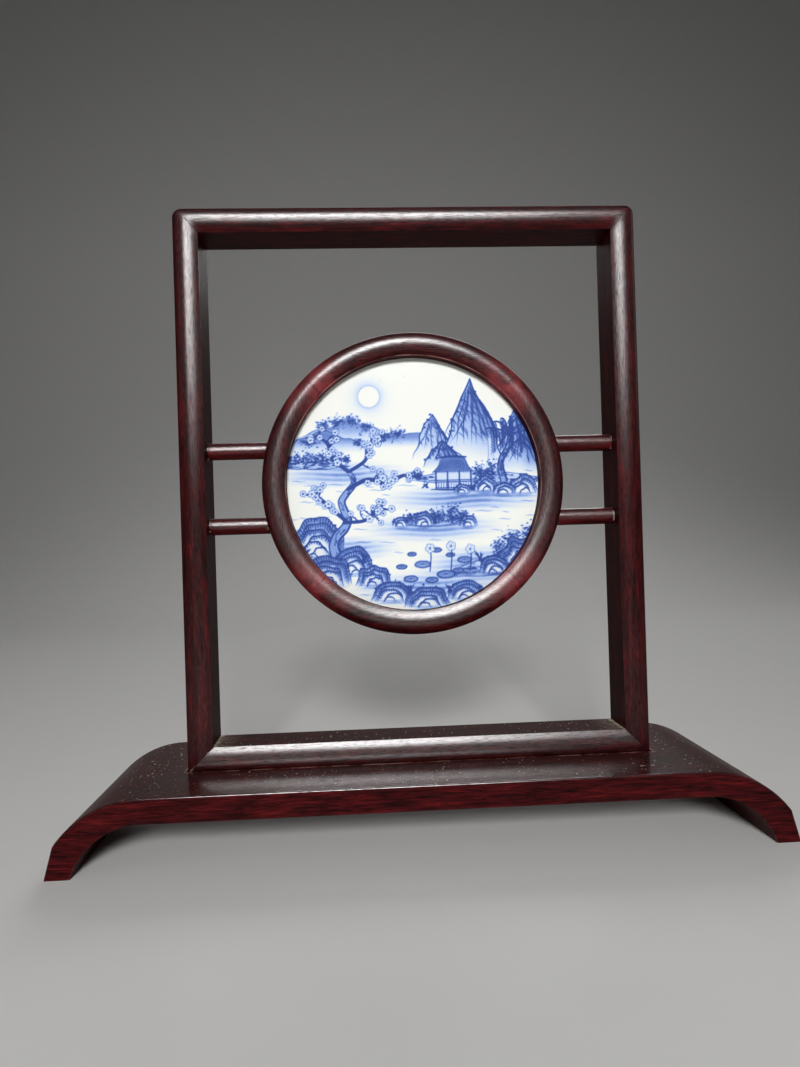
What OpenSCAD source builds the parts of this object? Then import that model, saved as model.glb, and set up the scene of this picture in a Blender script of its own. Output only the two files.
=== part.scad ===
// Table screen: a mitred moulded frame holds a segmented ring on four spindles, with a round porcelain
// plaque let into the ring from behind. The frame stands in a shallow housing in a low bridge-shaped stand.
// Millimetres, +Z up, front towards -Y. The origin is on the table, under the middle of the stand.

/* [Frame] */
// Outside width of the frame
frame_w = 260; // [240:1:320]
// Outside height of the frame, with the part that sits in the stand
frame_h = 312.5; // [290:0.5:380]
// Depth of the frame, from the crown of its moulding to its flat back
frame_d = 30; // [28:0.5:44]
// Face width of the four frame members
member_w = 14.5; // [13:0.5:18]
// Rise of the rounded crown in front of the square shoulders of frame and ring
crown = 5.5; // [3:0.25:6]
// How far the crown of frame and ring falls back from its crest to the crisp inner arris
crown_in = 2; // [1:0.25:3]
// Radius of the two upper outside corners
corner_r = 5; // [2:0.5:7]
// Radius of the eased long edges at the back of the frame
back_edge_r = 1.5; // [0.5:0.25:3]

/* [Mitre keys] */
// Length of a mitre key, square to the mitre
mitre_key_l = 10; // [6:0.5:10]
// Width of a mitre key, along the mitre
mitre_key_w = 5; // [3:0.5:6]
// Depth of a mitre key, front to back
mitre_key_d = 16; // [10:0.5:20]

/* [Ring] */
// Outside diameter of the ring
ring_od = 170; // [150:1:190]
// Face width of the ring
ring_w = 13.5; // [12:0.5:18]
// How far the crown of the ring stands behind the crown of the frame
ring_setback = 0.5; // [0:0.25:3]
// Depth of the lip between the inner arris of the ring and the plaque
lip_d = 8; // [5:0.5:10]
// How far the lip covers the rim of the plaque
lip_w = 4; // [2:0.25:5]
// Width of the ledge that the back board is screwed to
ledge_w = 5; // [4:0.25:5.5]
// Length of a ring key, along the ring
ring_key_l = 14; // [8:0.5:20]
// Thickness of a ring key, across the ring
ring_key_t = 4; // [2.5:0.25:5]
// Depth of a ring key, front to back
ring_key_d = 6; // [4:0.5:7]

/* [Plaque and back] */
// Thickness of the porcelain plaque
plaque_t = 6.5; // [5:0.5:9]
// Radius of the softened rim of the plaque
plaque_rim_r = 1; // [0.5:0.25:2]
// Thickness of the felt pad behind the plaque
pad_t = 1.5; // [1:0.25:3]
// Thickness of the back board
board_t = 4; // [3:0.5:6]
// Number of screws that hold the back board
screw_count = 6; // [6:6:12]
// Head diameter of a screw
screw_head_d = 4.4; // [3.5:0.1:4.6]
// Shank diameter of a screw
screw_d = 2.2; // [1.6:0.1:2.6]
// Length of a screw
screw_l = 9; // [7:0.5:11]

/* [Spindles] */
// Diameter of the four spindles between frame and ring
spindle_d = 9.5; // [7:0.25:12]
// Spacing of the upper and lower spindle, centre to centre
spindle_pitch = 42.5; // [30:0.5:60]
// Diameter of the tenons at both ends of a spindle
tenon_d = 6; // [4:0.25:6.5]
// Length of the tenon in a stile
stile_tenon_l = 8; // [5:0.5:10]
// Length of the tenon in the ring
ring_tenon_l = 6; // [4:0.5:7]

/* [Stand] */
// Overall length of the stand
stand_l = 384; // [350:1:440]
// Depth of the stand, front to back
stand_d = 110; // [80:1:150]
// Height of the stand
stand_h = 38.5; // [36:0.5:44]
// Thickness of the stand's board between its feet
stand_t = 13.2; // [11:0.1:15]
// Radius of the sweep from the flat top down to the heels
sweep_r = 52; // [46:0.5:60]
// Height of the knuckle where the sweep meets the heel
heel_h = 16.5; // [12:0.5:20]
// How far the sole runs out past the knuckle
heel_out = 4.5; // [2:0.25:7]
// Radius of the arch under the stand where it meets the feet
arch_r = 35.8; // [32:0.1:40]
// Width of the sole of a foot
sole_w = 12.8; // [10:0.1:18]
// Height of the foot blocks, up to their glue line with the board
foot_h = 22; // [20.5:0.25:23]
// Diameter of the dowels between a foot and the board
foot_dowel_d = 5; // [3:0.25:6]
// Length of the dowels between a foot and the board
foot_dowel_l = 10; // [6:0.5:10]
// Spacing of the two dowels of a foot, front to back
foot_dowel_pitch = 60; // [30:1:70]
// How far the dowels stand outwards of the middle of the glue line
foot_dowel_out = 2; // [0:0.25:3]

/* [Seat of the frame] */
// Depth of the housing that the frame stands in
housing_d = 1.5; // [1:0.25:3]
// Play between the frame and the housing, all round
housing_play = 0.4; // [0.2:0.05:1]
// Diameter of the two locating pegs
peg_d = 8; // [5:0.25:10]
// Length of a peg in the bottom rail
peg_up = 9.5; // [6:0.5:10]
// Length of a peg in the stand
peg_down = 9; // [5:0.5:9.5]
// Spacing of the two pegs
peg_pitch = 160; // [80:1:200]
// Chamfer at the ends of the pegs and dowels
peg_chamfer = 0.8; // [0.3:0.1:1.2]
// Radial play of the pegs in the stand
peg_play = 0.1; // [0.05:0.01:0.2]

/* [Clearances] */
// Radial or all-round clearance of a glued joint
glue_gap = 0.05; // [0.02:0.01:0.15]
// Spare depth at the bottom of a blind hole
hole_spare = 0.5; // [0.2:0.1:1]
// Radial play of the plaque, pad and back board in the ring
panel_play = 0.3; // [0.1:0.05:0.8]

/* [Hidden] */
$fn = 96;
// Extra length of a cutting shape past the face that it cuts
past = 1;
dark_wood = [0.23, 0.07, 0.06];
deep_wood = [0.16, 0.05, 0.045];
plain_wood = [0.62, 0.47, 0.31];
porcelain = [0.90, 0.92, 0.95];
felt = [0.25, 0.22, 0.20];
brass = [0.75, 0.60, 0.32];

// Frame
frame_z = stand_h - housing_d;
frame_top = frame_z + frame_h;
frame_mid_z = frame_z + frame_h / 2;
stile_x = frame_w / 2 - member_w;
mitre_x = frame_w / 2 - member_w / 2;
shoulder_y = -frame_d / 2 + crown;
core_y = (shoulder_y + frame_d / 2) / 2;
housing_front_y = -frame_d / 2 + arc_fall(member_w / 2, crown, housing_d) - housing_play;

// Ring, centred on what shows of the frame, with its depths counted forwards from its flat back
ring_z = (stand_h + frame_top) / 2;
ring_ro = ring_od / 2;
ring_ri = ring_ro - ring_w;
lip_back = board_t + pad_t + plaque_t;
ring_d = lip_back + lip_d + crown_in;
ring_shoulder = ring_d - crown;
ring_back_y = -frame_d / 2 + ring_setback + ring_d;
panel_bore_r = ring_ri + lip_w;
ledge_r = panel_bore_r + ledge_w;
plaque_r = panel_bore_r - panel_play;
ring_key_r = (panel_bore_r + ring_ro) / 2;
ring_key_depth = (board_t + ring_shoulder) / 2;
screw_ring_r = panel_bore_r + ledge_w / 2;

// Spindles, with their axis in the middle of the frame's depth
spindle_z = spindle_pitch / 2;
spindle_ring_x = sqrt(pow(ring_ro, 2) - pow(spindle_z, 2));

// Stand
knuckle_x = stand_l / 2 - heel_out;
sweep_z = stand_h - sweep_r;
sweep_x = knuckle_x - sqrt(pow(sweep_r, 2) - pow(heel_h - sweep_z, 2));
arch_top = stand_h - stand_t;
arch_z = arch_top - arch_r;
arch_x = stand_l / 2 - sole_w - sqrt(pow(arch_r, 2) - pow(arch_z, 2));
glue_in_x = arch_x + sqrt(pow(arch_r, 2) - pow(foot_h - arch_z, 2));
glue_out_x = sweep_x + sqrt(pow(sweep_r, 2) - pow(foot_h - sweep_z, 2));
foot_dowel_x = (glue_in_x + glue_out_x) / 2 + foot_dowel_out;

// Shared shapes

// A round pin along Z from z = 0, with both ends chamfered
module pin(d, l) {
  rotate_extrude()
    polygon([
      [0, 0],
      [d / 2 - peg_chamfer, 0],
      [d / 2, peg_chamfer],
      [d / 2, l - peg_chamfer],
      [d / 2 - peg_chamfer, l],
      [0, l]
    ]);
}

// Radius of the arc that rises by rise over a reach, and is level where it ends
function arc_r(reach, rise) = (pow(reach, 2) + pow(rise, 2)) / (2 * rise);

// How far an arc of this reach and rise has fallen back from its crest at a height over its low end
function arc_fall(reach, rise, height) =
  arc_r(reach, rise) - sqrt(pow(arc_r(reach, rise), 2) - pow(reach - height, 2));

// What the rounding of a front face w wide takes away: the crown points to -X, with its crest on x = 0.
// Two arcs meet level at the crest, in the middle of the face, and fall back by fall_a on y = 0 and by
// fall_b on y = w
module crown_waste(w, fall_a, fall_b) {
  deep = max(fall_a, fall_b);
  difference() {
    translate([-past, -past]) square([deep + past, w + 2 * past]);
    intersection() {
      translate([arc_r(w / 2, fall_a), w / 2]) circle(r = arc_r(w / 2, fall_a));
      square([deep + past, w / 2]);
    }
    intersection() {
      translate([arc_r(w / 2, fall_b), w / 2]) circle(r = arc_r(w / 2, fall_b));
      translate([0, w / 2]) square([deep + past, w / 2]);
    }
  }
}

// Section of a frame member: depth along X with the crown at -X, face width along Y
module member_section() {
  edge_x = frame_d / 2 - back_edge_r;
  difference() {
    union() {
      translate([-frame_d / 2, 0]) square([frame_d - back_edge_r, member_w]);
      translate([edge_x - past, back_edge_r]) square([back_edge_r + past, member_w - 2 * back_edge_r]);
      for (edge = [back_edge_r, member_w - back_edge_r])
        translate([edge_x, edge]) circle(r = back_edge_r);
    }
    translate([-frame_d / 2, 0]) crown_waste(member_w, crown, crown_in);
  }
}

// A mitred member along X, with its outer face on z = 0 and its inner face up
module member(length) {
  intersection() {
    rotate([90, 0, 90])
      linear_extrude(height = length, center = true)
        member_section();
    rotate([90, 0, 0])
      linear_extrude(height = frame_d + 2 * past, center = true)
        polygon([
          [-length / 2, 0],
          [length / 2, 0],
          [length / 2 - member_w - past, member_w + past],
          [-length / 2 + member_w + past, member_w + past]
        ]);
  }
}

// What the rounding of an upper outside corner takes away, side being -1 on the left
module corner_waste(side) {
  translate([side * (frame_w / 2 - corner_r), 0, frame_top - corner_r])
    rotate([90, 0, 0])
      linear_extrude(height = frame_d + 2 * past, center = true)
        difference() {
          translate([side > 0 ? 0 : -corner_r - past, 0]) square(corner_r + past);
          circle(r = corner_r);
        }
}

// A mitre key in its place, or its mortise where gap is over 0
module mitre_key(side, level, gap = 0) {
  z = level > 0 ? frame_top - member_w / 2 : frame_z + member_w / 2;
  translate([side * mitre_x, core_y, z])
    rotate([0, 45 * side * level, 0])
      cube([mitre_key_l + 2 * gap, mitre_key_d + 2 * gap, mitre_key_w + 2 * gap], center = true);
}

// A spindle's axis frame: +X runs outwards from the ring to the stile
module spindle_place(side, level) {
  translate([0, 0, ring_z + level * spindle_z])
    mirror([side < 0 ? 1 : 0, 0, 0])
      rotate([0, 90, 0])
        children();
}

// A spindle with its tenons, coped at its inner end to the round of the ring
module spindle(side, level) {
  color(dark_wood) {
    difference() {
      spindle_place(side, level)
        translate([0, 0, spindle_ring_x - spindle_d])
          cylinder(d = spindle_d, h = stile_x - spindle_ring_x + spindle_d);
      translate([0, 0, ring_z])
        rotate([90, 0, 0])
          cylinder(r = ring_ro + glue_gap, h = frame_d, center = true);
    }
    spindle_place(side, level)
      translate([0, 0, spindle_ring_x - ring_tenon_l])
        cylinder(d = tenon_d, h = stile_x + stile_tenon_l - spindle_ring_x + ring_tenon_l);
  }
}

// The tenon hole of a spindle in its stile
module stile_tenon_hole(side, level) {
  spindle_place(side, level)
    translate([0, 0, stile_x - past])
      cylinder(d = tenon_d + 2 * glue_gap, h = stile_tenon_l + hole_spare + past);
}

// The tenon hole of a spindle in the ring
module ring_tenon_hole(side, level) {
  spindle_place(side, level)
    translate([0, 0, spindle_ring_x - ring_tenon_l - hole_spare])
      cylinder(d = tenon_d + 2 * glue_gap, h = ring_tenon_l + hole_spare + spindle_d);
}

// Stands shapes that are round about Z on the axis of the ring, with z = 0 at its back and +z to the front
module on_ring() {
  translate([0, ring_back_y, ring_z])
    rotate([90, 0, 0])
      children();
}

// Section of the ring: radius along X, depth from the back along Y
module ring_section() {
  difference() {
    polygon([
      [ring_ri, lip_back],
      [ring_ri, ring_d],
      [ring_ro, ring_d],
      [ring_ro, 0],
      [ledge_r, 0],
      [ledge_r, board_t],
      [panel_bore_r, board_t],
      [panel_bore_r, lip_back]
    ]);
    translate([ring_ri, ring_d])
      rotate(-90)
        crown_waste(ring_w, crown_in, crown);
  }
}

// A ring key in its place, or its mortise where gap is over 0
module ring_key(angle, gap = 0) {
  on_ring()
    rotate(angle)
      translate([ring_key_r, 0, ring_key_depth])
        cube([ring_key_t + 2 * gap, ring_key_l + 2 * gap, ring_key_d + 2 * gap], center = true);
}

// One shape at each screw of the back board
module at_screws() {
  for (i = [0 : screw_count - 1])
    on_ring()
      rotate(360 / screw_count * (i + 0.5))
        translate([screw_ring_r, 0, 0])
          children();
}

// A quarter of the ring about the direction angle, with its mortises and screw holes
module ring_quarter(angle) {
  difference() {
    on_ring()
      rotate(angle - 45)
        rotate_extrude(angle = 90)
          ring_section();
    ring_key(angle - 45, glue_gap);
    ring_key(angle + 45, glue_gap);
    at_screws()
      cylinder(d = screw_d + 2 * glue_gap, h = screw_l + hole_spare);
  }
}

// Front outline of the whole stand, X across and Y up
module stand_outline() {
  difference() {
    union() {
      translate([-sweep_x, 0]) square([2 * sweep_x, stand_h]);
      for (side = [-1, 1])
        mirror([side < 0 ? 1 : 0, 0]) {
          intersection() {
            translate([sweep_x, sweep_z]) circle(r = sweep_r);
            translate([sweep_x - past, heel_h]) square([sweep_r + past, stand_h]);
          }
          polygon([
            [sweep_x - past, 0],
            [stand_l / 2, 0],
            [knuckle_x, heel_h],
            [sweep_x - past, heel_h]
          ]);
        }
    }
    translate([-arch_x, -past]) square([2 * arch_x, arch_top + past]);
    for (side = [-1, 1])
      translate([side * arch_x, arch_z]) circle(r = arch_r);
  }
}

// The stand's outline between two heights and from x_in outwards, as a solid
module stand_slice(z_low, z_high, x_low, x_high) {
  rotate([90, 0, 0])
    linear_extrude(height = stand_d, center = true)
      intersection() {
        stand_outline();
        translate([x_low, z_low]) square([x_high - x_low, z_high - z_low]);
      }
}

// The two dowels of a foot, or their holes where gap is over 0
module foot_dowel_pair(side, gap = 0) {
  spare = gap > 0 ? hole_spare : 0;
  for (place = [-1, 1])
    translate([side * foot_dowel_x, place * foot_dowel_pitch / 2, foot_h - foot_dowel_l / 2 - spare])
      if (gap > 0)
        cylinder(d = foot_dowel_d + 2 * gap, h = foot_dowel_l + 2 * spare);
      else
        pin(foot_dowel_d, foot_dowel_l);
}

// Sub-parts of the stand

module stand_board() {
  color(deep_wood)
    difference() {
      stand_slice(foot_h, stand_h + past, -stand_l, stand_l);
      translate([-frame_w / 2 - housing_play, housing_front_y, frame_z])
        cube([frame_w + 2 * housing_play, frame_d / 2 + housing_play - housing_front_y, stand_h]);
      for (side = [-1, 1]) {
        foot_dowel_pair(side, glue_gap);
        translate([side * peg_pitch / 2, core_y, frame_z - peg_down - hole_spare])
          cylinder(r = peg_d / 2 + peg_play, h = peg_down + hole_spare + past);
      }
    }
}

module foot(side) {
  color(deep_wood)
    difference() {
      stand_slice(-past, foot_h, side > 0 ? 0 : -stand_l, side > 0 ? stand_l : 0);
      foot_dowel_pair(side, glue_gap);
    }
}

module foot_dowels() {
  color(plain_wood)
    for (side = [-1, 1])
      foot_dowel_pair(side);
}

// Sub-parts of the frame

module top_rail() {
  color(dark_wood)
    difference() {
      translate([0, 0, frame_top]) mirror([0, 0, 1]) member(frame_w);
      for (side = [-1, 1]) {
        corner_waste(side);
        mitre_key(side, 1, glue_gap);
      }
    }
}

module bottom_rail() {
  color(dark_wood)
    difference() {
      translate([0, 0, frame_z]) member(frame_w);
      for (side = [-1, 1]) {
        mitre_key(side, -1, glue_gap);
        translate([side * peg_pitch / 2, core_y, frame_z - past])
          cylinder(d = peg_d + 2 * glue_gap, h = peg_up + hole_spare + past);
      }
    }
}

module stile(side) {
  color(dark_wood)
    difference() {
      translate([side * frame_w / 2, 0, frame_mid_z])
        rotate([0, -90 * side, 0])
          member(frame_h);
      corner_waste(side);
      for (level = [-1, 1]) {
        mitre_key(side, level, glue_gap);
        stile_tenon_hole(side, level);
      }
    }
}

module peg(side) {
  color(plain_wood)
    translate([side * peg_pitch / 2, core_y, frame_z - peg_down])
      pin(peg_d, peg_down + peg_up);
}

// Sub-parts of the ring

module plain_quarter(angle) {
  color(dark_wood)
    ring_quarter(angle);
}

module tenoned_quarter(side) {
  color(dark_wood)
    difference() {
      ring_quarter(side > 0 ? 0 : 180);
      for (level = [-1, 1])
        ring_tenon_hole(side, level);
    }
}

module plaque() {
  color(porcelain)
    on_ring()
      translate([0, 0, lip_back - plaque_t])
        rotate_extrude() {
          square([plaque_r - plaque_rim_r, plaque_t]);
          translate([0, plaque_rim_r]) square([plaque_r, plaque_t - 2 * plaque_rim_r]);
          for (rim = [plaque_rim_r, plaque_t - plaque_rim_r])
            translate([plaque_r - plaque_rim_r, rim]) circle(r = plaque_rim_r);
        }
}

module backing_pad() {
  color(felt)
    on_ring()
      translate([0, 0, board_t])
        cylinder(r = plaque_r, h = pad_t);
}

// A countersunk screw with its head on z = 0, pointing to +z
module screw() {
  head_h = (screw_head_d - screw_d) / 2;
  difference() {
    rotate_extrude()
      polygon([
        [0, 0],
        [screw_head_d / 2, 0],
        [screw_d / 2, head_h],
        [screw_d / 2, screw_l - screw_d],
        [0, screw_l]
      ]);
    cube([screw_head_d + past, screw_head_d / 6, head_h], center = true);
  }
}

module back_board() {
  sink_h = (screw_head_d - screw_d) / 2;
  color(plain_wood)
    difference() {
      on_ring() cylinder(r = ledge_r - panel_play, h = board_t);
      at_screws() {
        cylinder(d1 = screw_head_d + 2 * glue_gap, d2 = screw_d + 2 * glue_gap, h = sink_h);
        translate([0, 0, -past])
          cylinder(d = screw_d + 2 * glue_gap, h = board_t + 2 * past);
      }
    }
}

module back_screws() {
  color(brass)
    at_screws() screw();
}

stand_board();
foot(-1);  // left_foot
foot(1);  // right_foot
foot_dowels();
top_rail();
bottom_rail();
stile(-1);  // left_stile
stile(1);  // right_stile
color(plain_wood) mitre_key(-1, 1);  // mitre_key_top_left
color(plain_wood) mitre_key(1, 1);  // mitre_key_top_right
color(plain_wood) mitre_key(-1, -1);  // mitre_key_bottom_left
color(plain_wood) mitre_key(1, -1);  // mitre_key_bottom_right
peg(-1);  // left_peg
peg(1);  // right_peg
spindle(-1, 1);  // left_upper_spindle
spindle(-1, -1);  // left_lower_spindle
spindle(1, 1);  // right_upper_spindle
spindle(1, -1);  // right_lower_spindle
plain_quarter(90);  // ring_top
tenoned_quarter(-1);  // ring_left
plain_quarter(270);  // ring_bottom
tenoned_quarter(1);  // ring_right
color(plain_wood) ring_key(135);  // ring_key_top_left
color(plain_wood) ring_key(45);  // ring_key_top_right
color(plain_wood) ring_key(225);  // ring_key_bottom_left
color(plain_wood) ring_key(315);  // ring_key_bottom_right
plaque();
backing_pad();
back_board();
back_screws();
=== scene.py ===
import math

import bmesh
import bpy
import numpy as np
from mathutils import Matrix, Vector


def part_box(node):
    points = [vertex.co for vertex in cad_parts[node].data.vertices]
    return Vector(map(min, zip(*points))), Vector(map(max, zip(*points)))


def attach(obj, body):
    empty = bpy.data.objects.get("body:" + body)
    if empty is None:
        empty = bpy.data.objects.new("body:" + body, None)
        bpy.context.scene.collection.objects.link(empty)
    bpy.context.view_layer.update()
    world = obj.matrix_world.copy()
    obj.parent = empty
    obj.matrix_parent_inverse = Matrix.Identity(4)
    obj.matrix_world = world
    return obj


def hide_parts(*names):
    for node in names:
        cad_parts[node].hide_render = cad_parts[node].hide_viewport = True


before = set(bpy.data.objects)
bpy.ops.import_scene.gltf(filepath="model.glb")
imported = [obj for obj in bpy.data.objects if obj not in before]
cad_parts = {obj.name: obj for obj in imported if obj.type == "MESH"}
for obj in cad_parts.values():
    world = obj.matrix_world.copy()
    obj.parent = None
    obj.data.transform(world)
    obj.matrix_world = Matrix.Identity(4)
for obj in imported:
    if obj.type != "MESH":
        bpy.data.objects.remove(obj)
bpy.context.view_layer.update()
mm = 0.001  # pieces are drawn in millimetres and scaled once
print("frame loaded,", len(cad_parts), "CAD nodes")

scene = bpy.context.scene
scene.view_settings.view_transform = "Standard"


def cadBox(node):
    low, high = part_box(node)
    return low / mm, high / mm


# camera at the photograph's angle
cameraSet = {"place": (-32.89, -453.54, 164.54), "turn": -0.0542718, "tilt": 0.0031706, "roll": -0.0301547,
             "focalPixels": 791.74, "longSide": 1067, "sensor": 36.0, "clipStart": 0.01}


def makeCamera(s):
    data = bpy.data.cameras.new("camera")
    data.sensor_width = s["sensor"]
    data.lens = s["sensor"] * s["focalPixels"] / s["longSide"]
    data.clip_start = s["clipStart"]
    cam = bpy.data.objects.new("camera", data)
    scene.collection.objects.link(cam)
    cam.matrix_world = (Matrix.Translation(Vector(s["place"]) * mm)
                        @ Matrix.Rotation(s["turn"], 4, "Z")
                        @ Matrix.Rotation(math.pi / 2 + s["tilt"], 4, "X")
                        @ Matrix.Rotation(s["roll"], 4, "Z"))
    scene.camera = cam


makeCamera(cameraSet)
print("camera set")


# shader helpers: an input is linked where it gets a socket, and set where it gets a value
def feed(tree, node, inputs):
    for key, value in inputs.items():
        if isinstance(value, bpy.types.NodeSocket):
            tree.links.new(value, node.inputs[key])
        else:
            node.inputs[key].default_value = value


def addNode(tree, kind, inputs, **settings):
    node = tree.nodes.new(kind)
    for name, value in settings.items():
        setattr(node, name, value)
    feed(tree, node, inputs)
    return node


def maths(tree, operation, first, *others, clamp=False):
    for value in others or (0.0,):
        node = addNode(tree, "ShaderNodeMath", {0: first, 1: value}, operation=operation)
        first = node.outputs[0]
    node.use_clamp = clamp
    return first


def times(tree, *values, clamp=False):
    return maths(tree, "MULTIPLY", *values, clamp=clamp)


def plus(tree, *values, clamp=False):
    return maths(tree, "ADD", *values, clamp=clamp)


def scaled(tree, value, gain, base):
    return plus(tree, times(tree, value, gain), base)


# the colours of a Mix node are its inputs 6 and 7 and its output 2
def blendColours(tree, amount, first, second, mode="MIX"):
    node = addNode(tree, "ShaderNodeMix", {}, data_type="RGBA", blend_type=mode)
    feed(tree, node, {0: amount, 6: first, 7: second})
    return node.outputs[2]


def ramp(tree, value, stops, colours):
    node = addNode(tree, "ShaderNodeValToRGB", {0: value})
    marks = node.color_ramp.elements
    while len(marks) < len(stops):
        marks.new(0.5)
    for mark, at, colour in zip(marks, stops, colours):
        mark.position = at
        mark.color = colour
    return node.outputs[0]


def step(tree, value, low, high):
    return addNode(tree, "ShaderNodeMapRange", {"Value": value, "From Min": low, "From Max": high},
                   interpolation_type="SMOOTHSTEP").outputs[0]


def noise(tree, vector, scale, detail=2.0, roughness=0.5):
    return addNode(tree, "ShaderNodeTexNoise",
                   {"Vector": vector, "Scale": scale, "Detail": detail, "Roughness": roughness}).outputs[0]


def blotches(tree, vector, scale, detail, roughness, low, high):
    return step(tree, noise(tree, vector, scale, detail, roughness), low, high)


def mapped(tree, vector, **settings):
    return addNode(tree, "ShaderNodeMapping", {"Vector": vector, **settings}).outputs[0]


def stretched(tree, vector, along):
    return mapped(tree, vector, Scale=(along, 1.0, 1.0))


def axisOf(tree, vector, axis):
    return addNode(tree, "ShaderNodeSeparateXYZ", {0: vector}).outputs[axis]


def bumps(tree, height, strength, distance):
    return addNode(tree, "ShaderNodeBump",
                   {"Height": height, "Strength": strength, "Distance": distance}).outputs[0]


def attribute(tree, name):
    return addNode(tree, "ShaderNodeAttribute", {}, attribute_name=name).outputs["Fac"]


# a group gets a vector and some values, and puts out values
def newGroup(name, inputs, outputs):
    tree = bpy.data.node_groups.new(name, "ShaderNodeTree")
    tree.interface.new_socket("Vector", in_out="INPUT", socket_type="NodeSocketVector")
    for label, value in inputs.items():
        socket = tree.interface.new_socket(label, in_out="INPUT", socket_type="NodeSocketFloat")
        socket.default_value = value
    for label in outputs:
        tree.interface.new_socket(label, in_out="OUTPUT", socket_type="NodeSocketFloat")
    given = tree.nodes.new("NodeGroupInput").outputs
    return tree, given, tree.nodes.new("NodeGroupOutput")


def useGroup(tree, group, inputs):
    return addNode(tree, "ShaderNodeGroup", inputs, node_tree=group).outputs


# grain that runs along X of the vector it gets. Noise is given as scale, detail and roughness,
# and blotches have the two ends of their step behind these
grainSet = {"sway": (9.0, 2.0), "swayFar": (0.012, -0.009), "broadStretch": 0.10, "broadDetail": 4.0,
            "fibreStretch": 0.05, "fibre": (1700.0, 3.0, 0.65), "fleckStretch": 0.08,
            "flecks": (2300.0, 1.0, 0.5, 0.58, 0.68)}


def makeGrainGroup(s):
    tree, given, out = newGroup("grain", {"Figure Scale": 130.0, "Pore Amount": 0.5},
                                ("Figure", "Fibre", "Pores"))
    sway = noise(tree, given["Vector"], *s["sway"])
    farY, farZ = s["swayFar"]
    shift = addNode(tree, "ShaderNodeCombineXYZ", {1: times(tree, sway, farY), 2: times(tree, sway, farZ)})
    both = {0: given["Vector"], 1: shift.outputs[0]}
    swayed = addNode(tree, "ShaderNodeVectorMath", both, operation="ADD").outputs[0]
    flecks = blotches(tree, stretched(tree, swayed, s["fleckStretch"]), *s["flecks"])
    broad = stretched(tree, swayed, s["broadStretch"])
    feed(tree, out, {"Figure": noise(tree, broad, given["Figure Scale"], s["broadDetail"]),
                     "Fibre": noise(tree, stretched(tree, swayed, s["fibreStretch"]), *s["fibre"]),
                     "Pores": times(tree, flecks, given["Pore Amount"])})
    return tree


# rubbed edges, and painted highlight lines laid in the same colour along the ring's lip and the stand's
# rim: the piece's own wear-and-glint attribute, broken up
wearGlintSet = {"patches": (70.0, 4.0, 0.6, 0.36, 0.64)}


def makeWearGlintGroup(s):
    tree, given, out = newGroup("edgeWearAndGlint", {"Edge": 0.0, "Amount": 0.6}, ("Mask",))
    patches = blotches(tree, given["Vector"], *s["patches"])
    feed(tree, out, {"Mask": times(tree, given["Edge"], patches, given["Amount"], clamp=True)})
    return tree


# dust on faces that look up
dustSet = {"lies": (0.8, 1.0), "squeeze": (1.0, 0.4, 1.0), "cell": 840.0, "small": 3.0,
           "size": (0.30, 0.12), "rim": 0.05, "where": (34.0, 3.0, 0.5, 0.32, 0.60), "share": (0.45, 0.75),
           "film": (55.0, 5.0, 0.65), "filmMost": 0.5}


def makeDustGroup(s):
    tree, given, out = newGroup("dust", {"Up": 0.0, "Amount": 0.5}, ("Film", "Specks"))
    top = step(tree, given["Up"], *s["lies"])
    squeezed = mapped(tree, given["Vector"], Scale=s["squeeze"])
    cells = addNode(tree, "ShaderNodeTexVoronoi", {"Vector": squeezed, "Scale": s["cell"]}).outputs
    pick = addNode(tree, "ShaderNodeSeparateColor", {0: cells["Color"]}).outputs
    size = scaled(tree, maths(tree, "POWER", pick[0], s["small"]), *s["size"])
    spots = step(tree, maths(tree, "SUBTRACT", size, cells["Distance"]), 0.0, s["rim"])
    kept = times(tree, blotches(tree, given["Vector"], *s["where"]), step(tree, pick[1], *s["share"]))
    film = times(tree, noise(tree, given["Vector"], *s["film"]), top, s["filmMost"])
    feed(tree, out, {"Specks": times(tree, spots, kept, top, given["Amount"], clamp=True),
                     "Film": times(tree, film, given["Amount"], clamp=True)})
    return tree


grainGroup = makeGrainGroup(grainSet)
wearGlintGroup = makeWearGlintGroup(wearGlintSet)
dustGroup = makeDustGroup(dustSet)
print("shared node groups built")


def newMaterial(name):
    material = bpy.data.materials.new(name)
    material.use_nodes = True
    tree = material.node_tree
    shader = next(n for n in tree.nodes if n.type == "BSDF_PRINCIPLED")
    place = addNode(tree, "ShaderNodeTexCoord", {}).outputs["Object"]
    return material, tree, shader, place


grainTurn = {"X": (0, 0, 0), "Z": (0, math.pi / 2, 0)}


# the grain group on a turned vector, and its figure and fibre mixed for the colour
def grainOn(tree, vector, s):
    grain = useGroup(tree, grainGroup,
                     {"Vector": vector, "Figure Scale": s["figure"], "Pore Amount": s["pores"]})
    figure, fibre = s["mix"]
    return grain, plus(tree, times(tree, grain["Figure"], figure), times(tree, grain["Fibre"], fibre))


# rubbedAndGlint is the colour of worn arrises, and it also paints highlight lines along the ring's lip and
# in front of the stand's bed
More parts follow.
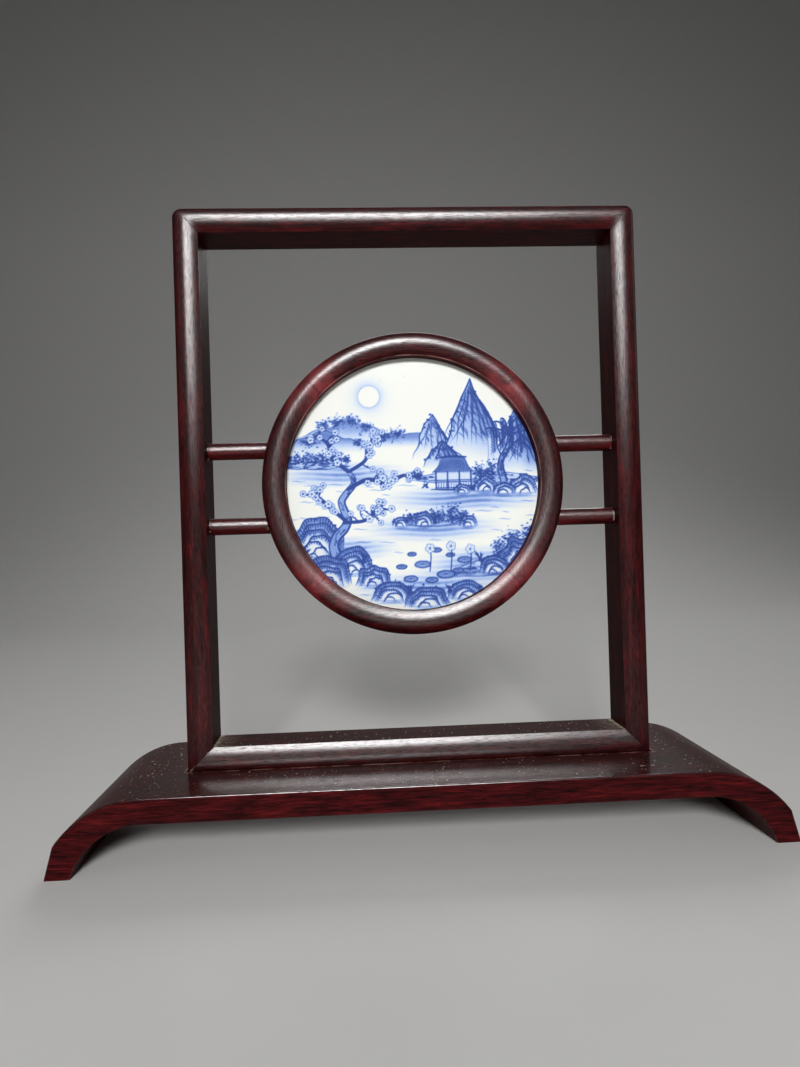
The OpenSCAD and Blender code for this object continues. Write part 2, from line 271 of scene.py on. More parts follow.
stain = {"deep": (0.0070, 0.0010, 0.0013, 1), "body": (0.0280, 0.0028, 0.0035, 1),
         "warm": (0.0600, 0.0046, 0.0056, 1), "bright": (0.1100, 0.0076, 0.0088, 1),
         "pore": (0.0060, 0.0014, 0.0016, 1), "endGrain": (0.2000, 0.0260, 0.0310, 1),
         "rubbedAndGlint": (0.4600, 0.2300, 0.2000, 1), "filler": (0.50, 0.42, 0.31, 1),
         "dust": (0.62, 0.55, 0.48, 1)}
lacquer = {"figure": 420.0, "pores": 0.45, "mix": (0.4, 0.6), "stops": (0.37, 0.47, 0.57, 0.67),
           "ends": (95.0, 4.0, 0.6, 0.30, 0.62), "wearAndGlint": 0.8, "seam": 0.8,
           "crumbs": (260.0, 3.0, 0.6, 0.50, 0.60), "packed": (0.0030, 0.0008, 0.9),
           "thin": (0.016, 0.0, 0.3), "driftUp": (0.6, 0.95), "drift": (420.0, 5.0, 0.75, 0.38, 0.56),
           "film": 0.06, "rough": (0.20, 0.36), "filmRough": 0.20, "sheen": 1.15, "fibreDull": 0.5,
           "lit": (-0.45, 0.15), "streak": 0.14,
           "dapple": (1700.0, 2.0, 0.6, 0.28, 0.72), "dappled": (0.6, 0.68), "fibreHigh": 0.6,
           "streaks": (1100.0, 2.0), "streakHigh": 0.9, "waves": (45.0, 2.0), "speckHigh": 1.5,
           "bump": (0.55, 0.0002), "specular": 0.02, "coatIor": 2.3}


# crumbs of filler and dust that have packed into the corners of a rail
def cornerDrift(tree, place, up, corner, s):
    across = maths(tree, "ABSOLUTE", axisOf(tree, place, 0))
    bands = []
    for start, stop, most in (s["packed"], s["thin"]):
        bands.append(times(tree, step(tree, across, corner - start, corner - stop), most))
    drift = times(tree, plus(tree, *bands, clamp=True), step(tree, up, *s["driftUp"]))
    return times(tree, drift, blotches(tree, place, *s["drift"]))


# lacquered, red-stained wood with its grain along one axis, polished where the piece says so
def stainedWood(name, grainAxis, offset, dust, tone=-0.02, filler=0.0, corner=0.0, under=0.05, haze=0.30):
    s = lacquer
    material, tree, shader, place = newMaterial(name)
    vector = mapped(tree, place, Rotation=grainTurn[grainAxis], Location=offset)
    grain, mixed = grainOn(tree, vector, s)
    up = axisOf(tree, addNode(tree, "ShaderNodeNewGeometry", {}).outputs["Normal"], 2)
    fallen = useGroup(tree, dustGroup, {"Vector": place, "Up": up, "Amount": dust})
    ends = times(tree, attribute(tree, "endGrain"), blotches(tree, place, *s["ends"]))
    # the wear-and-glint mask gives worn edges their rubbed colour, and lays painted highlight lines where a
    # piece marks them
    wearAndGlint = useGroup(tree, wearGlintGroup,
                    {"Vector": place, "Edge": attribute(tree, "wearAndGlint"), "Amount": s["wearAndGlint"]})
    seam = attribute(tree, "seam")
    crumbs = blotches(tree, place, *s["crumbs"])
    layers = [(grain["Pores"], "pore"), (ends, "endGrain"), (wearAndGlint["Mask"], "rubbedAndGlint"),
              (times(tree, seam, s["seam"]), "pore"), (times(tree, seam, crumbs, filler), "filler")]
    if corner:
        layers.append((cornerDrift(tree, place, up, corner, s), "filler"))
    layers += [(times(tree, fallen["Film"], s["film"]), "dust"), (fallen["Specks"], "dust")]
    colour = ramp(tree, plus(tree, mixed, tone), s["stops"],
                  [stain[key] for key in ("deep", "body", "warm", "bright")])
    for mask, paint in layers:
        colour = blendColours(tree, mask, colour, stain[paint])
    rough = plus(tree, scaled(tree, grain["Fibre"], *s["rough"]),
                 times(tree, fallen["Film"], s["filmRough"]))
    dull = plus(tree, grain["Pores"], times(tree, grain["Fibre"], s["fibreDull"]))
    lit = scaled(tree, step(tree, up, *s["lit"]), 1.0 - under, under)
    streaked = stretched(tree, vector, s["streak"])
    dapple = scaled(tree, blotches(tree, streaked, *s["dapple"]), *s["dappled"])
    sheen = times(tree, maths(tree, "SUBTRACT", s["sheen"], dull), lit, dapple)
    fibres = maths(tree, "SUBTRACT", times(tree, grain["Fibre"], s["fibreHigh"]), grain["Pores"])
    height = plus(tree, fibres, times(tree, noise(tree, streaked, *s["streaks"]), s["streakHigh"]),
                  noise(tree, place, *s["waves"]), times(tree, fallen["Specks"], s["speckHigh"]))
    feed(tree, shader, {"Base Color": colour, "Roughness": rough, "Normal": bumps(tree, height, *s["bump"]),
                        "Coat Weight": times(tree, attribute(tree, "polish"), sheen, clamp=True),
                        "Coat Roughness": haze, "Coat IOR": s["coatIor"],
                        "Specular IOR Level": s["specular"]})
    return material


bareWood = {"figure": 190.0, "pores": 0.3, "mix": (0.6, 0.4), "stops": (0.34, 0.66), "poreTone": 0.45,
            "rough": (0.2, 0.5), "bump": (0.25, 0.0002)}


def plainWood(name, dark, light, grainAxis):
    s = bareWood
    material, tree, shader, place = newMaterial(name)
    grain, mixed = grainOn(tree, mapped(tree, place, Rotation=grainTurn[grainAxis]), s)
    pore = tuple(c * s["poreTone"] for c in dark[:3]) + (1,)
    colour = blendColours(tree, grain["Pores"], ramp(tree, mixed, s["stops"], (dark, light)), pore)
    feed(tree, shader, {"Base Color": colour, "Roughness": scaled(tree, grain["Fibre"], *s["rough"]),
                        "Normal": bumps(tree, grain["Fibre"], *s["bump"])})
    return material


# modelling helpers
def vertsOf(geom):
    return [g for g in geom if isinstance(g, bmesh.types.BMVert)]


def clampShare(x):
    return max(0.0, min(1.0, x))


def arcOn(bm, vert, centre, axis, degrees, steps):
    made = bmesh.ops.spin(bm, geom=[vert], cent=centre, axis=axis, angle=math.radians(degrees), steps=steps)
    return vertsOf(made["geom_last"])[0]


def lineOn(bm, vert, *points):
    for point in points:
        following = bm.verts.new(point)
        bm.edges.new((vert, following))
        vert = following
    return vert


def everything(bm):
    return bm.verts[:] + bm.edges[:] + bm.faces[:]


def closeHoles(bm):
    bmesh.ops.holes_fill(bm, edges=[e for e in bm.edges if e.is_boundary], sides=0)


def scoreLoop(bm, point, normal, geom=None, clear=False):
    bmesh.ops.bisect_plane(bm, geom=geom or everything(bm), dist=1e-5, plane_co=point, plane_no=normal,
                           clear_outer=clear)


def cutOff(bm, point, normal):
    scoreLoop(bm, point, normal, clear=True)
    closeHoles(bm)


def pushFaces(bm, faces, vec):
    moved = bmesh.ops.extrude_face_region(bm, geom=faces)["geom"]
    bmesh.ops.translate(bm, vec=vec, verts=vertsOf(moved))


def pushEdges(bm, edges, vec):
    moved = bmesh.ops.extrude_edge_only(bm, edges=edges)["geom"]
    bmesh.ops.translate(bm, vec=vec, verts=vertsOf(moved))


# a closed outline is filled and drawn out to a bar
def drawOut(bm, vec):
    pushFaces(bm, bmesh.ops.contextual_create(bm, geom=bm.edges[:])["faces"], vec)
    closeHoles(bm)
    bmesh.ops.recalc_face_normals(bm, faces=bm.faces)


def layerOf(bm, name):
    return bm.verts.layers.float.get(name) or bm.verts.layers.float.new(name)


def soften(bm, edges, width, segments=3):
    made = bmesh.ops.bevel(bm, geom=edges, offset=width, offset_type="OFFSET", affect="EDGES",
                           segments=segments, profile=0.5, material=-1, clamp_overlap=True)
    faces = set(made["faces"])
    wearAndGlint = layerOf(bm, "wearAndGlint")
    for vert in made["verts"]:
        if vert.is_valid and all(f in faces for f in vert.link_faces):
            vert[wearAndGlint] = 1.0


# how far each surface is polished: shine(place) gives 0 to 1
def polishOn(bm, shine):
    polish = layerOf(bm, "polish")
    for vert in bm.verts:
        vert[polish] = shine(vert.co)


def steeper(angle):
    return lambda e: e.calc_face_angle(0) > angle


def finishPiece(bm, node, body, material, sharp=None):
    bmesh.ops.remove_doubles(bm, verts=bm.verts, dist=1e-4)
    bmesh.ops.recalc_face_normals(bm, faces=bm.faces)
    for face in bm.faces:
        face.smooth = True
    for edge in bm.edges:
        if sharp and sharp(edge):
            edge.smooth = False
    bmesh.ops.scale(bm, vec=(mm, mm, mm), verts=bm.verts)
    mesh = bpy.data.meshes.new("shown_" + node)
    bm.to_mesh(mesh)
    bm.free()
    mesh.materials.append(material)
    piece = bpy.data.objects.new("shown_" + node, mesh)
    scene.collection.objects.link(piece)
    weighted = piece.modifiers.new("weighted", "WEIGHTED_NORMAL")
    weighted.weight = 50
    weighted.keep_sharp = True
    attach(piece, body)
    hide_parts(node)
    return piece


# the four members of the frame, one moulding with mitred ends
frameLow, frameHigh = cadBox("top_rail")
footLow, footHigh = cadBox("bottom_rail")
member = {"face": frameHigh.z - frameLow.z, "front": frameLow.y, "back": frameHigh.y, "crown": 5.5,
          "crownIn": 2.0, "noseSteps": 14, "arris": 0.35, "backRound": 1.5, "backSteps": 5,
          "cornerRound": 5.0, "cornerCuts": 5, "cornerSlope": 26.0, "mitreGap": 0.16, "seamWide": 0.7,
          "ridge": 3.0, "ridgeLoops": (1.2, 1.8, 2.4, 3.0), "crisp": 0.7, "fade": (0.9, 2.4),
          "fadeMost": 0.94, "dull": 0.25, "dullZ": (190.0, 205.0, 220.0, 240.0, 265.0),
          "quiet": {"right_stile": 0.8}, "dust": 0.75, "filler": 0.5, "under": 0.05, "footUnder": 0.5}
frameHalf = footHigh.x  # the top corners are rounded off, the bottom ones are square
frameTop = frameHigh.z
frameFoot = footLow.z
frameMiddle = (frameTop + frameFoot) / 2


def noseRadius(s, rise):
    return ((s["face"] / 2) ** 2 + rise ** 2) / (2 * rise)


# the crowned nose: an arc from the outer shoulder to the crest, and a shallower one to the inner arris
def noseOn(bm, at, s, crest, axis):
    x, y, z = crest
    for rise, steps in ((s["crown"], s["noseSteps"]), (s["crownIn"], s["noseSteps"] // 2)):
        arcR = noseRadius(s, rise)
        sweep = math.degrees(math.asin(s["face"] / 2 / arcR))
        at = arcOn(bm, at, (x, y + arcR, z), axis, -sweep, steps)
    return at


# how far the nose has fallen back from its crest at a height over the outer face
def noseFall(s, height):
    height = max(0.0, min(s["face"], height))
    arcR = noseRadius(s, s["crown"] if height < s["face"] / 2 else s["crownIn"])
    return arcR - math.sqrt(arcR ** 2 - (s["face"] / 2 - height) ** 2)


# crisp edges: steep ones, and those along both sides of the nose
def noseSharp(s):
    rows = (s["front"] + s["crown"], s["front"] + s["crownIn"])
    steep = steeper(s["crisp"])
    return lambda e: steep(e) or any(all(abs(v.co.y - y) < 1e-3 for v in e.verts) for y in rows)


# polish fades on the way from the crest round the outer side
def noseFade(s, fall):
    start, length = s["fade"]
    return 1.0 - s["fadeMost"] * clampShare((fall - start) / length)


def edgesOf(bm, faces):
    faces = set(faces)
    return [e for e in bm.edges if any(f in faces for f in e.link_faces)]


# an upper corner is rubbed round, its nose further back than its sides
def rubCorner(bm, s, half, end):
    middle = Vector((end * (half - s["cornerRound"]), 0, s["cornerRound"]))
    slope = math.radians(s["cornerSlope"])
    for k in range(s["cornerCuts"]):
        angle = math.radians(90 - 45 * (k + 0.5) / s["cornerCuts"])
        out = Vector((end * math.cos(angle), 0, -math.sin(angle)))
        edge = middle + out * s["cornerRound"]
        cutOff(bm, edge, out)
        cutOff(bm, (edge.x, s["front"] + s["crown"], edge.z),
               out * math.cos(slope) - Vector((0, math.sin(slope), 0)))


# the ridge of an upper mitre is rubbed round: near it the nose follows its section further out
def rubRidge(bm, s, onMitre, inward):
    for away in s["ridgeLoops"]:
        scoreLoop(bm, onMitre + inward * away, inward)
    for vert in bm.verts:
        away = (vert.co - onMitre).dot(inward)
        onNose = abs(vert.co.y - s["front"] - noseFall(s, vert.co.z)) < 0.05
        if away < s["ridge"] and onNose:
            lower = (s["ridge"] - max(away, 0.0)) ** 2 / (2 * math.sqrt(2) * s["ridge"])
            vert.co.y = s["front"] + noseFall(s, max(vert.co.z - lower, 0.0))


def memberBar(s, half, rounded, dirt):
    bm = bmesh.new()
    backY = s["back"] - s["backRound"]
    first = bm.verts.new((-half, s["front"] + s["crown"], 0))
    at = noseOn(bm, first, s, (-half, s["front"], s["face"] / 2), (1, 0, 0))
    at = lineOn(bm, at, (-half, s["front"] + s["crownIn"] + 2 * s["arris"], s["face"]),
                (-half, backY, s["face"]))
    at = arcOn(bm, at, (-half, backY, s["face"] - s["backRound"]), (1, 0, 0), -90, s["backSteps"])
    at = lineOn(bm, at, (-half, s["back"], s["backRound"]))
    at = arcOn(bm, at, (-half, backY, s["backRound"]), (1, 0, 0), -90, s["backSteps"])
    bm.edges.new((at, first))
    drawOut(bm, (2 * half, 0, 0))
    for end in (-1, 1):
        cutOff(bm, (end * half, 0, 0), (end, 0, 1))
    for end in rounded:
        rubCorner(bm, s, half, end)
    mitres = [f for f in bm.faces if abs(abs(f.normal.x) - abs(f.normal.z)) < 1e-3 and f.normal.z > 0.5]
    soften(bm, edgesOf(bm, mitres), s["mitreGap"], 1)
    seam = layerOf(bm, "seam")
    for end, strength in zip((-1, 1), dirt):
        inward = Vector((-end, 0, -1)).normalized()
        onMitre = Vector((end * half, 0, 0))
        scoreLoop(bm, onMitre + inward * s["seamWide"], inward)
        for vert in bm.verts:
            if (vert.co - onMitre).dot(inward) < s["seamWide"] * 0.5:
                vert[seam] = strength
        if end in rounded:
            rubRidge(bm, s, onMitre, inward)
    return bm


# polish is full on the crest and the inner slope, and the sides have none
def memberShine(s, co):
    fall = co.y - s["front"]
    if co.z > s["face"] - 0.05:
        return 1.0 if fall < s["crownIn"] + 0.1 else 0.0
    if fall > s["crown"] - 0.01:
        return 0.0
    return 1.0 if co.z > s["face"] / 2 else noseFade(s, fall)


# the lower halves of the stiles are dull
def stileShine(s, z):
    low, high = s["dullZ"][0], s["dullZ"][-1]
    return s["dull"] + (1.0 - s["dull"]) * clampShare((z - low) / (high - low))


# a bar runs along X with its outer face down: along and across say where its X and Z go
def makeMember(s, name, along, across, place, rounded, dirt, offset):
    upright = along[2] == 1
    bm = memberBar(s, (frameTop - frameFoot) / 2 if upright else frameHalf, rounded, dirt)
    if upright:
        for z in s["dullZ"]:
            scoreLoop(bm, (z - frameMiddle, 0, 0), (1, 0, 0))
    most = s["quiet"].get(name, 1.0)
    polishOn(bm, lambda co: (most * memberShine(s, co)
                             * (stileShine(s, co.x + frameMiddle) if upright else 1.0)))
    turn = Matrix((along, (0, 1, 0), across)).transposed().to_4x4()
    bmesh.ops.transform(bm, matrix=Matrix.Translation(place) @ turn, verts=bm.verts)
    low = name == "bottom_rail"
    wood = stainedWood(name + "Wood", "Z" if upright else "X", offset, dust=s["dust"], filler=s["filler"],
                       corner=(frameHalf - s["face"]) * mm if low else 0.0,
                       under=s["footUnder"] if low else s["under"])
    finishPiece(bm, name, "screen", wood, noseSharp(s))


makeMember(member, "top_rail", (1, 0, 0), (0, 0, -1), (0, 0, frameTop), (-1, 1), (0.12, 0.12),
           (0.0, 0.3, 0.1))
makeMember(member, "bottom_rail", (1, 0, 0), (0, 0, 1), (0, 0, frameFoot), (), (1.0, 1.0),
           (0.4, 0.1, 0.5))
makeMember(member, "left_stile", (0, 0, 1), (1, 0, 0), (-frameHalf, 0, frameMiddle), (1,), (0.5, 0.12),
           (0.2, 0.6, 0.2))
makeMember(member, "right_stile", (0, 0, 1), (-1, 0, 0), (frameHalf, 0, frameMiddle), (1,), (0.5, 0.12),
           (0.7, 0.2, 0.9))
print("frame members built")

# the ring in four segments, rebated at the back for the plaque and its board
leftLow, leftHigh = cadBox("ring_left")
plaqueLow, plaqueHigh = cadBox("plaque")
boardLow, boardHigh = cadBox("back_board")
ringZ = (leftLow.z + leftHigh.z) / 2
ring = {"outer": -leftLow.x, "face": 13.5, "crown": 5.5, "crownIn": 2.0, "front": leftLow.y,
        "back": leftHigh.y, "lipBack": plaqueLow.y, "boreR": plaqueHigh.x + 0.3, "ledgeY": boardLow.y,
        "ledgeR": boardHigh.x + 0.3, "backRound": 0.8, "backSteps": 4, "noseSteps": 22, "turnSteps": 36,
        "jointGap": 0.12, "seamWide": 0.6,
        "seam": 0.45, "lipLoops": (0.3, 0.65), "lipGlintBand": 0.4, "lipGlint": 0.85, "endGrain": (0.62, 0.34),
        "crisp": 0.5, "fade": (0.9, 2.4), "fadeMost": 0.7, "dust": 0.3}


# polish of the ring at a depth behind its crest, out being the distance outwards of the crest
def ringShine(s, fall, out):
    if out < 0:
        return 1.0 if fall < s["crownIn"] + 0.1 else 0.0
    return 0.0 if fall > s["crown"] - 0.01 else noseFade(s, fall)


# the outline runs over the nose, down the lip and the two steps of the rebate, and round the back
def ringBlank(s, startDegrees):
    bm = bmesh.new()
    outer, inner, back = s["outer"], s["outer"] - s["face"], s["back"]
    arris = s["front"] + s["crownIn"]
    roundX = outer - s["backRound"]
    first = bm.verts.new((outer, s["front"] + s["crown"], 0))
    at = noseOn(bm, first, s, ((outer + inner) / 2, s["front"], 0), (0, 0, 1))
    at = lineOn(bm, at, *((inner, arris + far, 0) for far in s["lipLoops"]), (inner, s["lipBack"], 0),
                (s["boreR"], s["lipBack"], 0), (s["boreR"], s["ledgeY"], 0), (s["ledgeR"], s["ledgeY"], 0),
                (s["ledgeR"], back, 0), (roundX, back, 0))
    at = arcOn(bm, at, (roundX, back - s["backRound"], 0), (0, 0, 1), -90, s["backSteps"])
    bm.edges.new((at, first))
    turned = Matrix.Rotation(math.radians(-startDegrees), 3, "Y")
    bmesh.ops.rotate(bm, cent=(0, 0, 0), matrix=turned, verts=bm.verts)
    bmesh.ops.spin(bm, geom=bm.verts[:] + bm.edges[:], cent=(0, 0, 0), axis=(0, -1, 0),
                   angle=math.radians(90), steps=s["turnSteps"])
    closeHoles(bm)
    bmesh.ops.recalc_face_normals(bm, faces=bm.faces)
    return bm


def ringSegment(s, startDegrees):
    bm = ringBlank(s, startDegrees)
    ends = []
    for turn, side in ((startDegrees, -1), (startDegrees + 90, 1)):
        angle = math.radians(turn)
        ends.append(Vector((-math.sin(angle), 0, math.cos(angle))) * side)
    endFaces = [f for f in bm.faces if any(f.normal.dot(n) > 0.999 and len(f.verts) > 8 for n in ends)]
    soften(bm, edgesOf(bm, endFaces), s["jointGap"], 1)
    seam, endGrain, wearAndGlint = (layerOf(bm, name) for name in ("seam", "endGrain", "wearAndGlint"))
    for n in ends:
        scoreLoop(bm, -n * s["seamWide"], n)
        for vert in bm.verts:
            if vert.co.dot(n) > -s["seamWide"] * 0.5:
                vert[seam] = s["seam"]
    arris, inner = s["front"] + s["crownIn"], s["outer"] - s["face"]
    start, length = s["endGrain"]
    for vert in bm.verts:
        turn = math.degrees(math.atan2(vert.co.z, vert.co.x)) % 360
        away = abs((turn - startDegrees - 45 + 180) % 360 - 180) / 45
        vert[endGrain] = clampShare((away - start) / length)
        # a thin band along the lip's arris gets the rubbed colour: a painted highlight line
        onLip = arris - 0.01 < vert.co.y < arris + s["lipGlintBand"]
        if onLip and math.hypot(vert.co.x, vert.co.z) < inner + 0.1:
            vert[wearAndGlint] = s["lipGlint"]
    crest = (s["outer"] + inner) / 2
    polishOn(bm, lambda co: ringShine(s, co.y - s["front"], math.hypot(co.x, co.z) - crest))
    bmesh.ops.translate(bm, vec=(0, 0, ringZ), verts=bm.verts)
    return bm


for name, start, grainAxis, offset in (("ring_top", 45, "X", (0.1, 0.2, 0.7)),
                                       ("ring_left", 135, "Z", (0.5, 0.8, 0.1)),
                                       ("ring_bottom", 225, "X", (0.9, 0.4, 0.3)),
                                       ("ring_right", 315, "Z", (0.3, 0.1, 0.6))):
    finishPiece(ringSegment(ring, start), name, "screen",
                stainedWood(name + "Wood", grainAxis, offset, dust=ring["dust"]), noseSharp(ring))
print("ring segments built")

# the four spindles, coped to the ring
spindle = {"radius": 4.75, "sides": 40, "stileX": frameHalf - member["face"], "long": 40, "seamWide": 0.9,
           "polish": 0.9, "dust": 0.4, "tone": 0.04, "filler": 0.75, "crisp": 0.5}


def rod(radius, sides, long, axis, centre):
    bm = bmesh.new()
    bmesh.ops.create_cone(bm, cap_ends=True, segments=sides, radius1=radius, radius2=radius, depth=long)
    bmesh.ops.rotate(bm, cent=(0, 0, 0), matrix=Matrix.Rotation(math.pi / 2, 3, axis), verts=bm.verts)
    bmesh.ops.translate(bm, vec=centre, verts=bm.verts)
    return bm


def makeSpindle(s, name, offset):
    low, high = cadBox(name)
    side = 1 if low.x > 0 else -1
    z = (low.z + high.z) / 2
    inner, outer = s["stileX"] - s["long"], s["stileX"]
    bm = rod(s["radius"], s["sides"], outer - inner, "Y", ((outer + inner) / 2, 0, 0))
    for vert in bm.verts:
        if vert.co.x < inner + 1:
            vert.co.x = math.sqrt(ring["outer"] ** 2 - (z - ringZ + vert.co.z) ** 2)
    root = max(v.co.x for v in bm.verts if v.co.x < outer - 1)
    for x in (outer - s["seamWide"], root + s["seamWide"]):
        scoreLoop(bm, (x, 0, 0), (1, 0, 0))
    seam = layerOf(bm, "seam")
    for vert in bm.verts:
        if vert.co.x > outer - 0.3 or vert.co.x < root + 0.1:
            vert[seam] = 1.0
    polishOn(bm, lambda co: s["polish"])
    bmesh.ops.scale(bm, vec=(side, 1, 1), verts=bm.verts)
    bmesh.ops.translate(bm, vec=(0, 0, z), verts=bm.verts)
    wood = stainedWood(name + "Wood", "X", offset, dust=s["dust"], tone=s["tone"], filler=s["filler"])
    finishPiece(bm, name, "screen", wood, steeper(s["crisp"]))


for name, offset in (("left_upper_spindle", (0.2, 0.9, 0.4)), ("left_lower_spindle", (0.6, 0.3, 0.8)),
                     ("right_upper_spindle", (0.8, 0.5, 0.2)), ("right_lower_spindle", (0.1, 0.7, 0.9))):
    makeSpindle(spindle, name, offset)
print("spindles built")

# the bridge-shaped stand: a board and two feet glued under its ends
standHigh = cadBox("stand_board")[1]
soleHigh = cadBox("right_foot")[1]
stand = {"half": soleHigh.x, "depth": standHigh.y, "top": standHigh.z, "thick": 13.2, "sweepR": 52.0,
         "heelHigh": 16.5, "heelOut": 4.5, "archR": 35.8, "archZ": -10.5, "soleWide": 12.8,
         "glueZ": soleHigh.z, "edge": 0.9, "footEdge": 0.8, "brim": 0.2, "rim": (1.7, 2.5),
         "sweepSteps": 22, "archSteps": 22,
         "seamWide": 0.8, "housingX": frameHalf + 0.4, "housingDeep": 1.5,
         "housingY": (member["front"] + noseFall(member, 1.5) - 0.4, member["back"] + 0.4),
         "pegX": 80.0, "pegY": 2.75, "pegHole": 4.1, "pegDeep": 10.5, "pegPatch": 2.5, "pegSides": 24,
         "crisp": 0.6, "endShine": 0.22, "frontShine": 0.03, "glow": (70.0, 170.0),
         "glowX": (-170, -135, -100, -70, 70, 100, 135, 170), "tone": 0.01, "dust": 0.9, "filler": 0.8,
         "haze": 0.16, "footShadeTone": -0.005, "footDust": 0.3}


def standBlock(s):
    bm = bmesh.new()
    knuckleX = s["half"] - s["heelOut"]
    sweepZ = s["top"] - s["sweepR"]
    sweepX = knuckleX - math.sqrt(s["sweepR"] ** 2 - (s["heelHigh"] - sweepZ) ** 2)
    soleX = s["half"] - s["soleWide"]
    archX = soleX - math.sqrt(s["archR"] ** 2 - s["archZ"] ** 2)
    drop = 90 - math.degrees(math.atan2(s["heelHigh"] - sweepZ, knuckleX - sweepX))
    spread = 90 - math.degrees(math.asin(-s["archZ"] / s["archR"]))
    y = -s["depth"]
    at = lineOn(bm, bm.verts.new((0, y, s["top"])), (sweepX, y, s["top"]))
    at = arcOn(bm, at, (sweepX, y, sweepZ), (0, 1, 0), drop, s["sweepSteps"])
    at = lineOn(bm, at, (s["half"], y, 0), (soleX, y, 0))
    at = arcOn(bm, at, (archX, y, s["archZ"]), (0, 1, 0), -spread, s["archSteps"])
    lineOn(bm, at, (0, y, s["top"] - s["thick"]))
    bmesh.ops.mirror(bm, geom=everything(bm), axis="X", merge_dist=1e-3)
    bmesh.ops.remove_doubles(bm, verts=bm.verts, dist=1e-3)
    bmesh.ops.dissolve_verts(bm, verts=[v for v in bm.verts if abs(v.co.x) < 1e-3])
    drawOut(bm, (0, 2 * s["depth"], 0))
    return bm


def isArris(e):
    return len(e.link_faces) == 2 and e.calc_face_angle(0) > 0.5


def atHeight(e, z):
    return all(abs(v.co.z - z) < 0.01 for v in e.verts)


def drillPeg(bm, s, side):
    floorZ = s["top"] - s["housingDeep"]
    x, y = side * s["pegX"], s["pegY"]
    wide = s["pegHole"] + s["pegPatch"]
    for point, normal in (((x - wide, 0, 0), (1, 0, 0)), ((x + wide, 0, 0), (1, 0, 0)),
                          ((0, y - wide, 0), (0, 1, 0)), ((0, y + wide, 0), (0, 1, 0))):
        floor = [f for f in bm.faces if f.normal.z > 0.9 and abs(f.calc_center_median().z - floorZ) < 0.01]
        points = list({v for f in floor for v in f.verts})
        scoreLoop(bm, point, normal, floor + edgesOf(bm, floor) + points)
    patch = min((f for f in bm.faces if abs(f.calc_center_median().z - floorZ) < 0.01),
                key=lambda f: (f.calc_center_median() - Vector((x, y, floorZ))).length)
    rim = list(patch.edges)
    bmesh.ops.delete(bm, geom=[patch], context="FACES_ONLY")
    around = bmesh.ops.subdivide_edges(bm, edges=rim, cuts=5)["geom_inner"]
    corners = {v for e in rim if e.is_valid for v in e.verts} | set(vertsOf(around))
    square = [e for e in bm.edges if e.is_boundary and all(v in corners for v in e.verts)]
    place = Matrix.Translation((x, y, floorZ)) @ Matrix.Rotation(math.pi / 4, 4, "Z")
    circle = bmesh.ops.create_circle(bm, cap_ends=False, segments=s["pegSides"], radius=s["pegHole"],
                                     matrix=place)
    loop = list({e for v in circle["verts"] for e in v.link_edges})
    bmesh.ops.bridge_loops(bm, edges=square + loop)
    pushEdges(bm, loop, (0, 0, -s["pegDeep"]))
    closeHoles(bm)


# the bed of the frame is sunk into the top, with loops round its rim
def sinkHousing(bm, s):
    hx, (frontY, backY) = s["housingX"], s["housingY"]
    for x in (hx, -hx):
        scoreLoop(bm, (x, 0, 0), (1, 0, 0))
    for y in (frontY, backY):
        scoreLoop(bm, (0, y, 0), (0, 1, 0))
    for wide in s["rim"]:
        scoreLoop(bm, (0, frontY - wide, 0), (0, 1, 0))
        scoreLoop(bm, (hx + wide, 0, 0), (1, 0, 0))
        scoreLoop(bm, (-hx - wide, 0, 0), (1, 0, 0))
    bed = min((f for f in bm.faces if f.normal.z > 0.9),
              key=lambda f: (f.calc_center_median() - Vector((0, 0, s["top"]))).length)
    pushFaces(bm, [bed], (0, 0, -s["housingDeep"]))
    if bed.is_valid:
        bmesh.ops.delete(bm, geom=[bed], context="FACES_ONLY")


# the middle of the top and the arrises are rubbed bright, the front is nearly matt
def standShine(s, co):
    inFrom = s["depth"] - abs(co.y)
    if inFrom < 0.01:
        return s["frontShine"]
    if inFrom < s["edge"] - 0.05:
        return 1.0
    near, far = s["glow"]
    return s["endShine"] + (1.0 - s["endShine"]) * clampShare((far - abs(co.x)) / (far - near))


def makeBoard(s):
    hx, (frontY, backY) = s["housingX"], s["housingY"]
    bm = standBlock(s)
    cutOff(bm, (0, 0, s["glueZ"]), (0, 0, -1))
    sinkHousing(bm, s)
    for side in (-1, 1):
        drillPeg(bm, s, side)
    bmesh.ops.recalc_face_normals(bm, faces=bm.faces)
    below = s["top"] - 3
    bmesh.ops.dissolve_limit(bm, angle_limit=math.radians(0.5), use_dissolve_boundaries=False,
                             verts=[v for v in bm.verts if v.co.z < below],
                             edges=[e for e in bm.edges if all(v.co.z < below for v in e.verts)])
    outer = [e for e in bm.edges if isArris(e) and not atHeight(e, s["glueZ"])
             and all(abs(abs(v.co.y) - s["depth"]) < 0.01 for v in e.verts)]
    soften(bm, outer, s["edge"], 3)
    brim = [e for e in bm.edges if isArris(e) and atHeight(e, s["top"])
            and all(abs(v.co.y) < backY + 1 for v in e.verts)]
    soften(bm, brim, s["brim"], 2)
    # a strip of the top just in front of the bed gets the rubbed colour: a painted highlight line along the
    # frame's foot
    wearAndGlint = layerOf(bm, "wearAndGlint")
    for vert in bm.verts:
        onPaintedGlint = frontY - s["rim"][0] - 0.1 < vert.co.y < frontY + 0.01 and abs(vert.co.x) < hx + 0.3
        if onPaintedGlint and abs(vert.co.z - s["top"]) < 0.01:
            vert[wearAndGlint] = 1.0
    for x in s["glowX"]:
        scoreLoop(bm, (x, 0, 0), (1, 0, 0))
    polishOn(bm, lambda co: standShine(s, co))
    wood = stainedWood("standBoardWood", "X", (0.3, 0.5, 0.2), dust=s["dust"], tone=s["tone"],
                       filler=s["filler"], haze=s["haze"])
    finishPiece(bm, "stand_board", "stand", wood, steeper(s["crisp"]))


